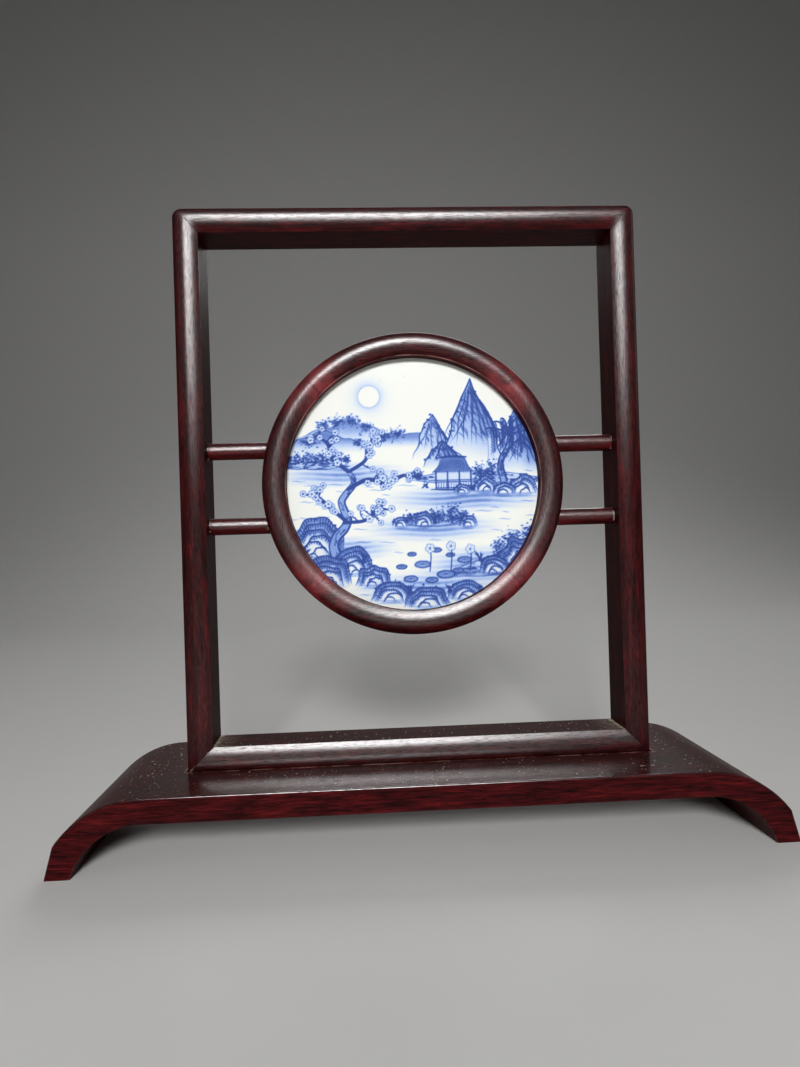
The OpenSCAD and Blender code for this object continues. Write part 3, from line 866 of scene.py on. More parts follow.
# a foot is one end of the same block, with dirt along its glue line
def makeFoot(s, name, side):
    bm = standBlock(s)
    cutOff(bm, (0, 0, s["glueZ"]), (0, 0, 1))
    bmesh.ops.delete(bm, geom=[v for v in bm.verts if v.co.x * side < 0], context="VERTS")
    bmesh.ops.recalc_face_normals(bm, faces=bm.faces)
    arrises = [e for e in bm.edges if isArris(e) and not atHeight(e, s["glueZ"])]
    soften(bm, arrises, s["edge"] * s["footEdge"], 3)
    scoreLoop(bm, (0, 0, s["glueZ"] - s["seamWide"]), (0, 0, 1))
    seam = layerOf(bm, "seam")
    for vert in bm.verts:
        if abs(vert.co.z - s["glueZ"]) < s["seamWide"] * 0.5:
            vert[seam] = 1.0
    polishOn(bm, lambda co: standShine(s, co))
    # the feet's stain is set a touch darker than the board's: painted shade for the light that falls off
    # towards the ends
    wood = stainedWood(name + "Wood", "X", (0.5 + side * 0.2, 0.1, 0.4), dust=s["footDust"],
                       tone=s["footShadeTone"])
    finishPiece(bm, name, "stand", wood, steeper(s["crisp"]))


makeBoard(stand)
makeFoot(stand, "left_foot", -1)
makeFoot(stand, "right_foot", 1)
print("stand built")

# cobalt picture: pigment strength on a fine canvas, u to the right and v up from the disc's middle, in mm
picture = {"half": 74.0, "cell": 0.15, "seed": 11, "swell": 0.62, "strongest": 0.95, "free": 0.2}
# pens: nominal width in mm, share of it at both ends, and tone or share of the motif's tone
pens = {"skyline": (0.34, (0.5, 0.5), 1.3), "rib": (0.5, (0.7, 0.05), 1.25),
        "cleft": (0.38, (0.8, 0.05), 0.95), "rising": (0.55, (0.15, 0.9), 1.7),
        "falling": (0.7, (0.9, 0.1), 1.8), "water": (0.3, (0.9, 0.1), 1.0),
        "splash": (0.35, (0.45, 0.12), 0.35), "rock": (0.5, (0.2, 0.2), 0.92),
        "hatch": (0.42, (0.9, 0.05), 0.75), "lapping": (0.36, (0.1, 0.1), 0.34),
        "blade": (0.55, (0.9, 0.05), 1.0), "stem": (0.3, (0.8, 0.2), 0.9),
        "leaf": (0.42, (0.7, 0.1), 1.0), "limb": (0.75, (1, 0.2), 0.85),
        "thatch": (0.36, (0.6, 0.3), 0.62), "ridgePole": (1.0, (0.6, 0.6), 0.9),
        "post": (0.6, (1, 1), 0.85), "rail": (0.4, (1, 1), 0.75), "baluster": (0.28, (1, 1), 0.6),
        "sill": (0.7, (0.4, 0.4), 0.85), "bankTop": (0.5, (0.2, 0.2), 0.7),
        "bankFoot": (0.42, (0.2, 0.2), 0.62), "earth": (0.42, (0.1, 0.1), 0.55),
        "ripple": (0.36, (0.1, 0.1), 1.0), "pad": (0.45, (0.8, 0.8), 0.85),
        "vein": (0.28, (0.8, 0.2), 0.7), "stamen": (0.24, (1, 0.6), 0.75),
        "twig": (0.55, (1, 0.2), 0.85), "bark": (0.4, (0.9, 0.1), 0.75), "stalk": (0.5, (1, 0.8), 0.8)}
dice = np.random.default_rng(picture["seed"])
cellCount = int(round(2 * picture["half"] / picture["cell"]))
pigment = np.zeros((cellCount, cellCount), np.float32)


def canvasWindow(points, margin):
    half, cell = picture["half"], picture["cell"]
    low = np.floor((np.min(points, axis=0) - margin + half) / cell).astype(int).clip(0, cellCount - 1)
    high = np.ceil((np.max(points, axis=0) + margin + half) / cell).astype(int).clip(1, cellCount)
    u = (np.arange(low[0], high[0]) + 0.5) * cell - half
    v = (np.arange(low[1], high[1]) + 0.5) * cell - half
    return (slice(low[1], high[1]), slice(low[0], high[0])), u[None, :], v[:, None]


def windowRound(u, v, wide, high):
    return canvasWindow(np.array(((u - wide, v - high), (u + wide, v + high))), 0.0)


def smoothPath(points, steps=7):
    p = np.array(points, float)
    p = np.vstack((2 * p[0] - p[1], p, 2 * p[-1] - p[-2]))
    t = np.linspace(0, 1, steps, endpoint=False)[:, None]
    parts = []
    for a, b, c, d in zip(p[:-3], p[1:-2], p[2:-1], p[3:]):
        curve = (2 * a - 5 * b + 4 * c - d) * t ** 2 + (3 * b - a - 3 * c + d) * t ** 3
        parts.append(0.5 * (2 * b + (c - a) * t + curve))
    return np.vstack(parts + [p[-2:-1]])


def strokeCover(path, halfWide):
    where, u, v = canvasWindow(path, halfWide.max() + 0.3)
    inked = np.full((v.shape[0], u.shape[1]), -9.0)
    for a, b, wideA, wideB in zip(path[:-1], path[1:], halfWide[:-1], halfWide[1:]):
        d = b - a
        along = (((u - a[0]) * d[0] + (v - a[1]) * d[1]) / max(d @ d, 1e-9)).clip(0, 1)
        gap = np.hypot(u - a[0] - along * d[0], v - a[1] - along * d[1])
        np.maximum(inked, wideA + (wideB - wideA) * along - gap, out=inked)
    return where, (inked / picture["cell"] + 0.5).clip(0, 1)


def ink(where, cover, tone):
    pigment[where] += (1 - pigment[where]) * (cover * tone)


def brush(points, wide, tone, ends):
    path = smoothPath(points) if len(points) > 2 else np.array(points, float)
    share = np.interp(np.linspace(0, 1, len(path)), (0, 0.3, 0.65, 1), (ends[0], 1, 1, ends[1]))
    where, cover = strokeCover(path, picture["swell"] * wide * share)
    ink(where, cover, tone)


def stroke(points, pen, tone=1.0):
    wide, ends, strength = pens[pen]
    brush(points, wide, min(picture["strongest"], tone * strength), ends)


def insideOf(points, u, v):
    inside = np.zeros((v.shape[0], u.shape[1]), bool)
    for (x0, y0), (x1, y1) in zip(points, np.roll(points, -1, axis=0)):
        if y0 != y1:
            inside ^= ((y0 > v) != (y1 > v)) & (u < (x1 - x0) * (v - y0) / (y1 - y0) + x0)
    return inside


# clears what lies behind a shape, then lays a wash over it
def wash(points, toneAt, clearAt=lambda u, v: 1.0):
    points = np.array(points, float)
    where, u, v = canvasWindow(points, 0.3)
    inside = insideOf(points, u, v)
    pigment[where] *= 1 - inside * clearAt(u, v)
    ink(where, inside, toneAt(u, v))


def ease(x):
    x = np.clip(x, 0, 1)
    return x * x * (3 - 2 * x)


def ragged(a, b, amount, splits=3):
    path = [np.array(a, float), np.array(b, float)]
    for _ in range(splits):
        finer = path[:1]
        for p, q in zip(path[:-1], path[1:]):
            side = np.array((p[1] - q[1], q[0] - p[0]))
            finer += [(p + q) / 2 + side * dice.normal(0, amount), q]
        path = finer
    return np.array(path)


def polar(angle, far=1.0):
    return np.array((math.cos(angle), math.sin(angle))) * far


def dots(points, size, tone):
    for p in points:
        r = size * dice.uniform(0.6, 1.2)
        brush([p, p + (r * dice.uniform(0.3, 1.0), r * dice.uniform(-0.3, 0.3))], 2 * r, tone, (0.9, 0.7))


def farRidge(start, stop, high, swell, tone):
    u = np.linspace(start[0], stop[0], 40)
    lift = np.sin(np.linspace(0, math.pi, 40)) ** 0.7
    waves = sum(np.sin(u * f + dice.uniform(0, 6)) * a for f, a in ((0.16, 0.5), (0.37, 0.32), (0.8, 0.14)))
    edge = np.column_stack((u, np.linspace(start[1], stop[1], 40) + lift * (high + swell * waves)))
    base, top = min(start[1], stop[1]), edge[:, 1].max()

    def fade(uu, vv):
        return ease((vv - base) / (top - base) * 1.25)

    outline = np.vstack((edge, ((stop[0], base), (start[0], base))))
    wash(outline, lambda uu, vv: tone * fade(uu, vv), fade)
    stroke(edge[::3], "skyline", tone)


def crag(left, apex, right, tone, ribs, mist=0.4):
    left, apex, right = (np.array(p, float) for p in (left, apex, right))
    base = min(left[1], right[1])
    tall = apex[1] - base
    rising, falling = ragged(left, apex, 0.055), ragged(apex, right, 0.055)
    edge = np.vstack((rising, falling[1:]))

    def clear(u, v):
        return ease((v - base) / (tall * mist))

    def shade(u, v):
        lit = 0.22 + 0.5 * ease((v - base) / tall) + 0.28 * ease((u - apex[0]) / tall * 3 + 0.4)
        return tone * clear(u, v) * lit

    wash(edge, shade, clear)
    for rib in range(ribs):
        share = (rib + 0.5 + dice.uniform(-0.2, 0.2)) / ribs
        foot = left + (right - left) * share + (0, tall * mist * 0.55)
        head = apex + (foot - apex) * (0.06 + 0.5 * abs(share - 0.45))
        line = ragged(head, foot, 0.05)
        stroke(line[::2], "rib", tone)
        for _ in range(9):
            at = line[0] + (line[-1] - line[0]) * dice.uniform(0.02, 0.8)
            long = tall * dice.uniform(0.06, 0.15)
            out = polar(math.radians(dice.uniform(-78, -48)), long)
            stroke([at, at + out * 0.5 + (0.25, 0.15), at + out], "cleft", tone)
    stroke(rising, "rising", tone)
    stroke(falling, "falling", tone)
    spots = edge[dice.integers(2, len(edge) - 2, 16)] + dice.normal(0, 0.5, (16, 2)) - (0, 0.3)
    dots(spots[spots[:, 1] > base + tall * 0.4], 0.5, 0.85)


def waterfall(u, top, foot, wide):
    wash([(u - wide / 2, top), (u + wide / 2, top), (u + wide * 0.8, foot), (u - wide * 0.7, foot)],
         lambda uu, vv: 0.02)
    for k in range(6):
        x = u + wide * (k / 5 - 0.5)
        middle = (x + dice.normal(0, 0.15), (top + foot) / 2)
        end = (x + (x - u) * 0.5, foot + dice.uniform(0, 3))
        stroke([(x, top), middle, end], "water", 0.5 if k in (0, 5) else 0.28)
    for k in range(5):
        start = (u + dice.uniform(-3, 1), foot - 0.6 - k * 0.35)
        stroke([start, (u + dice.uniform(1, 4), foot - 0.7 - k * 0.4)], "splash")


def boulder(u, v, wide, high, tone, bands=4):
    turn = np.linspace(math.pi, 0, 17)
    rough = 1 + dice.normal(0, 0.055, 17)
    reach = np.column_stack((np.cos(turn), np.abs(np.sin(turn)) ** 0.75)) * rough[:, None]

    def foot(uu, vv):
        return ease((vv - v) / (0.3 * high) + 0.15)

    for band in range(bands):
        size = 1 - band / (bands + 0.6)
        shift = 0.10 * wide * (1 - size) * (1 if band % 2 else -1)
        edge = smoothPath(reach[::2] * (wide / 2 * size, high * size) + (u + shift, v - 0.02 * high * band))

        def shade(uu, vv):
            depth = np.hypot((uu - u - shift) / (wide / 2 * size), (vv - v) / (high * size))
            return tone * foot(uu, vv) * (0.05 + 0.55 * ease((depth - 0.62) / 0.38))

        wash(edge, shade, foot)
        stroke(edge[::7], "rock")
        for start in edge[5:-5:max(1, round(52 / (wide * size)))]:
            inward = (np.array((u + shift, v)) - start) * dice.uniform(0.10, 0.24)
            stroke([start, start + inward * 0.5 + (0.15, 0), start + inward], "hatch")
    moss = reach[dice.integers(2, 15, 8)] * (wide / 2, high) + (u, v) + dice.normal(0, 0.35, (8, 2))
    dots(moss, 0.48, 0.88)
    for k in range(4):
        stroke([(u - wide * dice.uniform(0.3, 0.6), v + 0.4 - k * 0.6), (u, v + 0.2 - k * 0.6),
                (u + wide * dice.uniform(0.3, 0.6), v + 0.3 - k * 0.6)], "lapping")


def grass(u, v, blades, long, tone):
    for _ in range(blades):
        lean = dice.uniform(-0.9, 0.9)
        tip = (u + lean * long * 0.7 + dice.normal(0, 0.4), v + long * dice.uniform(0.6, 1.0))
        stroke([(u + dice.normal(0, 0.7), v), (u + lean * long * 0.25, v + long * 0.5), tip], "blade", tone)


def strand(at, long, sway, tone):
    path = smoothPath([at, at + (sway * 0.55, -long * 0.25), at + (sway * 0.9, -long * 0.6),
                       at + (sway, -long)])
    stroke(path[::4], "stem", tone)
    for k in range(2, len(path) - 1):
        side = 1 if k % 2 else -1
        tip = path[k] + (side * dice.uniform(0.5, 1.1), -dice.uniform(0.7, 1.5))
        stroke([path[k], tip], "leaf", tone)


def trunk(points, wides):
    path = smoothPath(points)
    half = 0.5 * np.interp(np.linspace(0, 1, len(path)), np.linspace(0, 1, len(wides)), wides)
    where, cover = strokeCover(path, half)
    pigment[where] *= 1 - cover
    ink(where, cover, 0.38)
    along = np.gradient(path, axis=0)
    side = np.column_stack((-along[:, 1], along[:, 0])) / np.linalg.norm(along, axis=1)[:, None]
    for s, wide in ((-1, 0.8), (1, 0.5)):
        brush((path + side * half[:, None] * s)[::3], wide, 0.92, (0.9, 0.4))
    for _ in range(34):
        i = dice.integers(1, len(path) - 2)
        at = path[i] + side[i] * half[i] * dice.uniform(-0.75, 0.55)
        ahead = along[i] / np.linalg.norm(along[i])
        stroke([at, at + ahead * 0.9 + side[i] * 0.25, at + ahead * dice.uniform(1.4, 2.6)], "bark")


def willow(u, v, high, spread, tone):
    crown = np.array((u + high * 0.10, v + high * 0.72))
    trunk([(u, v), (u - high * 0.05, v + high * 0.3), (u + high * 0.06, v + high * 0.52), crown],
          (3.6, 2.8, 2.3, 1.3))
    for limb in range(7):
        reach = polar(math.radians(20 + limb * 23 + dice.normal(0, 5))) * (spread, high * 0.30)
        arch = smoothPath([crown, crown + reach * (0.45, 0.8), crown + reach, crown + reach * (1.2, 0.75)])
        stroke(arch[::4], "limb")
        for _ in range(6):
            at = arch[dice.integers(4, len(arch))] + dice.normal(0, 0.4, 2)
            strand(at, high * dice.uniform(0.2, 0.52), dice.normal(0.6, 0.8),
                   tone * dice.uniform(0.75, 1.05))


def bush(u, v, wide, high, tone, crowd):
    where, uu, vv = windowRound(u, v, wide, high)
    lump = np.exp(-(((uu - u) / wide) ** 2 + ((vv - v) / high) ** 2) * 2.2)
    ink(where, lump, tone * 0.45)
    leaves = dice.normal(0, 0.45, (int(crowd * wide), 2)) * (wide, high)
    dots(np.array((u, v)) + leaves, 0.42, tone)


# bushes that stand on one line
def hedge(spots, v, lift, tone, crowd):
    for u, wide, high in spots:
        bush(u, v + high * lift, wide, high, tone, crowd)


def hut(u, v, wide, high):
    eave, ridge = wide / 2, wide * 0.27
    wall, rail = eave * 0.82, eave * 0.8
    wash([(u - wall, v + 0.5), (u + wall, v + 0.5), (u + wall, v - high), (u - wall, v - high)],
         lambda uu, vv: 0.14)
    hip = [(eave, -0.4), (eave * 0.72, high * 0.28), (ridge, high * 0.82)]
    roof = [(u - x, v + y) for x, y in hip] + [(u + x, v + y) for x, y in reversed(hip)]
    wash(roof, lambda uu, vv: 0.36 + 0.25 * ease((v + high * 0.5 - vv) / high))
    for k in range(26):
        s = k / 25 * 2 - 1
        tip = (u + s * eave * 0.98, v - 0.9 - dice.uniform(0, 0.5))
        stroke([(u + s * ridge, v + high * 0.8), (u + s * eave * 0.7, v + high * 0.3), tip], "thatch")
    stroke([(u - ridge - 0.8, v + high * 0.85), (u, v + high * 0.9), (u + ridge + 0.8, v + high * 0.85)],
           "ridgePole")
    for s in (-0.8, -0.27, 0.27, 0.8):
        stroke([(u + s * eave, v), (u + s * eave, v - high)], "post")
    for y in (0.52, 0.62, 0.98):
        stroke([(u - rail, v - high * y), (u + rail, v - high * y)], "rail")
    for k in range(15):
        x = u + rail * (k / 7 - 1)
        stroke([(x, v - high * 0.62), (x, v - high * 0.98)], "baluster")
    stroke([(u - eave * 1.05, v - high * 1.06), (u, v - high * 1.1), (u + eave * 1.08, v - high * 1.05)],
           "sill")


def bank(start, stop, deep, tone):
    u = np.linspace(start[0], stop[0], 24)
    swell = np.sin(np.linspace(0, math.pi, 24)) * deep * 0.5
    top = np.linspace(start[1], stop[1], 24) + swell + dice.normal(0, 0.16, 24)
    low = top - deep * np.sin(np.linspace(0.05, math.pi - 0.05, 24))
    upper, lower = np.column_stack((u, top)), np.column_stack((u, low))
    wash(np.vstack((upper, lower[::-1])),
         lambda uu, vv: tone * (0.25 + 0.4 * ease((top.max() - vv) / deep)))
    stroke(upper[::2], "bankTop")
    stroke(lower[::2], "bankFoot")
    for _ in range(int(abs(stop[0] - start[0]) * deep / 5)):
        s = dice.integers(2, 22)
        y = low[s] + (top[s] - low[s]) * dice.uniform(0.1, 0.9)
        before, after = u[s] - dice.uniform(1, 2.5), u[s] + dice.uniform(1, 2.5)
        stroke([(before, y), (u[s], y + 0.2), (after, y - 0.1)], "earth")


# short waves where the water is still free
def ripples(count, box, tone):
    for _ in range(count):
        u, v = dice.uniform(box[0], box[1]), dice.uniform(box[2], box[3])
        long = dice.uniform(4, 13)
        where = windowRound(u, v, long / 2, 0.5)[0]
        if pigment[where].max(initial=0) < picture["free"]:
            stroke([(u - long / 2, v), (u - long / 6, v + 0.25), (u + long / 6, v - 0.2),
                    (u + long / 2, v + 0.05)], "ripple", tone)


def lotus(u, v, wide, high, tone):
    turn = np.linspace(0, 2 * math.pi, 24, endpoint=False)
    wave = 1 + 0.03 * np.sin(turn * 5 + dice.uniform(0, 6))
    edge = np.column_stack((u + wide / 2 * np.cos(turn) * wave, v + high / 2 * np.sin(turn) * wave))
    wash(edge, lambda uu, vv: tone * (0.45 + 0.55 * ease(np.hypot((uu - u) / wide, (vv - v) / high) * 2)))
    stroke(np.vstack((edge, edge[:1]))[::2], "pad")
    for a in turn[::3]:
        tip = (u + wide * 0.42 * math.cos(a), v + high * 0.42 * math.sin(a))
        stroke([(u, v + high * 0.06), tip], "vein")


def blossom(u, v, size):
    where, uu, vv = canvasWindow(np.array(((u, v),)), size * 1.5)
    turn = dice.uniform(0, 6.28)
    petals = np.arange(5) * 1.2566
    middles = [polar(turn + a, 0.58 * size) for a in petals]
    gap = np.min([np.hypot(uu - u - x, vv - v - y) - 0.5 * size for x, y in middles], axis=0)
    inside = (0.5 - gap / picture["cell"]).clip(0, 1)
    pigment[where] *= 1 - inside
    ink(where, inside * (np.hypot(uu - u, vv - v) / size).clip(0, 1), 0.16)
    ink(where, (1 - np.abs(gap) / 0.2).clip(0, 1), 0.85)
    for a in petals + turn + 0.63:
        stroke([(u, v), (u, v) + polar(a, 0.55 * size)], "stamen")
    dots(np.array(((u - 0.2, v),)), 0.3, 0.95)


# a branch with twigs gives back the places and sizes of its blossoms
def branch(points, wide, twigs, flowers):
    blooms = []
    path = smoothPath(points)
    brush(points, wide, 0.9, (1.0, 0.2))
    for _ in range(twigs):
        at = path[dice.integers(len(path) // 4, len(path) - 1)]
        slope = math.radians(dice.uniform(25, 155) if dice.random() < 0.75 else dice.uniform(-60, -20))
        tip = at + polar(slope) * dice.uniform(3.5, 8)
        stroke([at, (at + tip) / 2 + dice.normal(0, 0.5, 2), tip], "twig")
        dots(np.array((tip, (at + tip) / 2)), 0.45, 0.85)
        blooms.append((*tip, dice.uniform(1.5, 1.9)))
    for _ in range(flowers):
        at = path[dice.integers(len(path) // 5, len(path))] + dice.normal(0, 1.1, 2)
        blooms.append((*at, dice.uniform(1.5, 2.1)))
    return blooms


def moon(u, v, r):
    where, uu, vv = canvasWindow(np.array(((u, v),)), r * 2.6)
    d = np.hypot(uu - u, vv - v)
    ink(where, np.where(d > r, np.exp(-(d - r) / (r * 0.42)), 0), 0.2)
    ink(where, (1 - np.abs(d - r) / 0.22).clip(0, 1), 0.5)


def shallows(u, v, wide, high, tone):
    where, uu, vv = windowRound(u, v, wide, high)
    streak = 0.75 + 0.25 * np.sin(vv * 2.1 + np.sin(uu * 0.12) * 1.5)
    ink(where, ease(1 - np.hypot((uu - u) / wide, (vv - v) / high)) * streak, tone)


def each(motif, *rows):
    for row in rows:
        motif(*row)


def paintFarShore():
    moon(-24, 50, 6.2)
    farRidge((-70, 22), (-6, 23), 13, 3.2, 0.42)
    for u, v, wide in ((-50, 34, 5), (-43, 36, 6), (-34, 37, 5), (-26, 33, 4)):
        bush(u, v, wide, 3.2, 0.5, 12)
    farRidge((-78, 17), (-22, 18), 12, 2.6, 0.50)
    farRidge((-30, 20), (26, 21), 9, 2.2, 0.44)
    for u, v, wide in ((-58, 25, 5), (-30, 24, 4), (-16, 27, 5), (-8, 29, 5)):
        bush(u, v, wide, 2.8, 0.55, 13)
    each(crag, ((0, 14), (12, 39), (26, 12), 0.42, 6), ((44, 12), (59, 41), (82, 8), 0.44, 7),
         ((16, 12), (34, 59), (55, 8), 0.55, 10), ((48, 6), (63, 27), (84, 2), 0.52, 7))
    waterfall(45.0, 25, 9, 3.0)
    crag((6, 9), (17, 24), (33, 6), 0.55, 7)
    shallows(-40, 6, 46, 9, 0.486)
    bank((-82, 12), (-34, 11), 4.0, 0.42)
    hedge(((-67, 6, 4), (-59, 5, 5.5), (-52, 6, 4.4), (-44, 5, 3.2), (-38, 3, 2.2)), 14.0, 0.35, 0.62, 14)


def paintHutAndIslet():
    shallows(30, -9, 56, 10, 0.54)
    bank((-4, 3), (78, 1), 8.5, 0.42)
    hedge(((2, 4, 3), (45, 6, 6), (38, 4, 4.5)), 4.0, 0.4, 0.66, 15)
    hut(23, 6.5, 25, 9.5)
    willow(52, 0, 36, 13, 0.72)
    each(boulder, (41, -5, 13, 8, 0.8), (63, -7, 18, 10, 0.8), (52, -7, 13, 6, 0.8, 3),
         (28, -6, 9, 5, 0.8, 3))
    each(grass, (34, -4.5, 7, 4, 0.7), (7, -2.5, 6, 3.5, 0.65))
    shallows(10, -25, 46, 10, 0.54)
    bank((-10, -22), (34, -21), 6.0, 0.46)
    hedge(((-2, 4, 3), (22, 6, 6.5), (14, 5, 4.5), (28, 4, 3.5)), -20.5, 0.4, 0.68, 16)
    each(boulder, (5, -24, 12, 8, 0.85), (31, -25, 10, 6, 0.85, 3), (-8, -24, 9, 5, 0.85, 3))
    grass(12, -23, 7, 5, 0.75)
    ripples(80, (-70, 70, -34, 9), 0.40)


def paintNearShore():
    each(shallows, (-40, -36, 36, 9, 0.486), (40, -48, 46, 14, 0.567))
    bank((16, -52), (82, -42), 11, 0.46)
    for u, v, wide in ((56, -33, 6), (66, -30, 6), (48, -38, 5)):
        bush(u, v, wide, 6, 0.66, 17)
    each(boulder, (60, -48, 24, 15, 0.85, 6), (45, -52, 17, 10, 0.85, 5), (-56, -40, 30, 22, 0.85, 7))
    trunk([(-43, -46), (-46, -32), (-38, -21), (-41, -9), (-34, 1), (-37, 9)],
          (6.4, 4.8, 4.4, 3.6, 2.8, 2.0))
    blooms = branch([(-39, -20), (-48, -12), (-55, -6), (-64, -4)], 1.7, 7, 7)
    blooms += branch([(-37, -2), (-26, 3), (-15, 1), (-5, 5), (5, 3)], 1.8, 10, 9)
    blooms += branch([(-37, 8), (-46, 16), (-48, 24), (-56, 29)], 1.6, 8, 7)
    blooms += branch([(-36, 8), (-27, 14), (-25, 22), (-16, 25)], 1.5, 8, 7)
    blooms += branch([(-40, -21), (-28, -20), (-20, -14), (-12, -15)], 1.5, 8, 6)
    each(blossom, *blooms)
    each(boulder, (-36, -50, 22, 15, 0.85, 6), (-50, -56, 26, 16, 0.85, 6), (-24, -57, 19, 11, 0.85, 5))
    each(grass, (-29, -44, 8, 6, 0.8), (-62, -40, 8, 6, 0.8))
    shallows(4, -60, 46, 12, 0.54)
    for u, v, w in ((4, -46, 9), (17, -52, 10), (28, -44, 8), (-3, -54, 8), (12, -38, 6), (-8, -47, 6),
                    (9, -55, 7), (24, -50, 6), (20, -41, 5), (-2, -40, 5)):
        lotus(u, v, w, w * 0.42, 0.5)
    each(boulder, (-14, -66, 22, 11, 0.85, 5), (6, -70, 24, 11, 0.85, 5), (28, -66, 20, 10, 0.85, 5))
    each(grass, (-4, -62, 8, 6, 0.8), (19, -62, 7, 5, 0.8))
    for u, h in ((20, 9), (8, 8), (31, 7)):
        stroke([(u, -50), (u + 0.8, -50 + h), (u + 0.4, -46 + h)], "stalk")
        blossom(u + 0.4, -45 + h, 2.6)
    ripples(70, (-50, 60, -66, -34), 0.42)
    each(grass, (66, -36, 9, 9, 0.8), (37, -45, 7, 6, 0.75))


paintFarShore()
paintHutAndIslet()
paintNearShore()
print("picture painted, blue share", round(float((pigment > 0.15).mean()), 3))


# neighbouring cells are averaged, so that thin strokes survive the plaque's coarser mesh
def pigmentAt(x, z):
    soft = sum(np.roll(np.roll(pigment, i, 0), j, 1) for i in (-1, 0, 1) for j in (-1, 0, 1)) / 9
    column = ((x + picture["half"]) / picture["cell"] - 0.5).clip(0, cellCount - 1.001)
    row = ((z + picture["half"]) / picture["cell"] - 0.5).clip(0, cellCount - 1.001)
    c, r = column.astype(int), row.astype(int)
    fc, fr = column - c, row - r
    return ((soft[r, c] * (1 - fc) + soft[r, c + 1] * fc) * (1 - fr)
            + (soft[r + 1, c] * (1 - fc) + soft[r + 1, c + 1] * fc) * fr)


glaze = {"colours": ((0.84, 0.85, 0.80, 1), (0.48, 0.60, 0.83, 1), (0.19, 0.30, 0.65, 1),
                     (0.085, 0.150, 0.44, 1), (0.040, 0.075, 0.29, 1)),
         "stops": (0.0, 0.25, 0.5, 0.75, 1.0),
         "grains": (1400.0, 3.0, 0.7), "grained": (0.5, 0.75), "pools": (130.0, 3.0), "pooled": (0.4, 0.8),
         "strength": 1.2, "cast": (22.0, 3.0, 0.5, 0.3, 0.7), "castMost": 0.35,
         "castColour": (0.955, 0.985, 1.0, 1),
         "speckCell": 85.0, "speck": (0.035, 0.015), "speckMost": 0.5, "speckColour": (0.42, 0.36, 0.28, 1),
         "rough": (40.0, 3.0), "roughness": (0.08, 0.07), "waves": (38.0, 2.0), "relief": 0.10,
         "bump": (0.18, 0.0004)}


# white glaze over cobalt: the pigment is granular, the glaze a little uneven
def glazedPorcelain(s):
    material, tree, shader, place = newMaterial("glazedPorcelain")
    grains = scaled(tree, noise(tree, place, *s["grains"]), *s["grained"])
    pools = scaled(tree, noise(tree, place, *s["pools"]), *s["pooled"])
    laid = times(tree, attribute(tree, "cobalt"), grains, pools, s["strength"], clamp=True)
    colour = ramp(tree, laid, s["stops"], s["colours"])
    cast = times(tree, blotches(tree, place, *s["cast"]), s["castMost"])
    colour = blendColours(tree, cast, colour, s["castColour"], "MULTIPLY")
    cells = addNode(tree, "ShaderNodeTexVoronoi", {"Vector": place, "Scale": s["speckCell"]})
    specks = times(tree, step(tree, cells.outputs["Distance"], *s["speck"]), s["speckMost"])
    height = plus(tree, noise(tree, place, *s["waves"]), times(tree, laid, s["relief"]))
    feed(tree, shader, {"Base Color": blendColours(tree, specks, colour, s["speckColour"]),
                        "Roughness": scaled(tree, noise(tree, place, *s["rough"]), *s["roughness"]),
                        "Normal": bumps(tree, height, *s["bump"])})
    return material


# the plaque: a round tile with a ground edge, dense enough to carry the picture
plaque = {"radius": plaqueHigh.x, "front": plaqueLow.y, "back": plaqueHigh.y, "cells": 300, "painted": 72.6,
          "rim": ((-0.8, 0.0), (-0.25, 0.4), (0.0, 1.0)), "backRim": ((0.0, -0.6), (-0.6, 0.0)),
          "crisp": 0.9}


# a square grid is drawn round to a disc
def discPoint(a, b):
    if a == 0 and b == 0:
        return 0.0, 0.0
    r, turn = (a, math.pi / 4 * b / a) if abs(a) > abs(b) else (b, math.pi / 2 - math.pi / 4 * a / b)
    return r * math.cos(turn), r * math.sin(turn)


def makePlaque(s):
    bm = bmesh.new()
    bmesh.ops.create_grid(bm, x_segments=s["cells"], y_segments=s["cells"], size=1.0)
    for vert in bm.verts:
        x, z = discPoint(vert.co.x, vert.co.y)
        vert.co = (x * s["painted"], s["front"], z * s["painted"])
    spots = np.array([v.co[:] for v in bm.verts])
    cobalt = layerOf(bm, "cobalt")
    for vert, value in zip(bm.verts, pigmentAt(spots[:, 0], spots[:, 2])):
        vert[cobalt] = value
    edge = [e for e in bm.edges if e.is_boundary]
    rows = [(s["radius"] + dr, s["front"] + dy) for dr, dy in s["rim"]]
    rows += [(s["radius"] + dr, s["back"] + dy) for dr, dy in s["backRim"]]
    for radius, y in rows:
        made = bmesh.ops.extrude_edge_only(bm, edges=edge)["geom"]
        edge = [g for g in made if isinstance(g, bmesh.types.BMEdge)]
        for vert in vertsOf(made):
            grow = radius / math.hypot(vert.co.x, vert.co.z)
            vert.co = (vert.co.x * grow, y, vert.co.z * grow)
    closeHoles(bm)
    bmesh.ops.translate(bm, vec=(0, 0, ringZ), verts=bm.verts)
    finishPiece(bm, "plaque", "screen", glazedPorcelain(glaze), steeper(s["crisp"]))


makePlaque(plaque)
print("plaque built")

# the felt pad between plaque and back board
felt = {"radius": 75.2, "sides": 96, "edge": 0.45, "rings": (6.0, 24.0), "dimple": 0.12,
        "hairs": (1100.0, 4.0, 0.75), "clumps": (140.0, 3.0), "mix": (0.7, 0.3), "stops": (0.35, 0.65),
        "colours": ((0.045, 0.045, 0.05, 1), (0.16, 0.16, 0.17, 1)), "rough": (0.15, 0.83),
        "bump": (0.6, 0.0003), "sheen": 0.25}


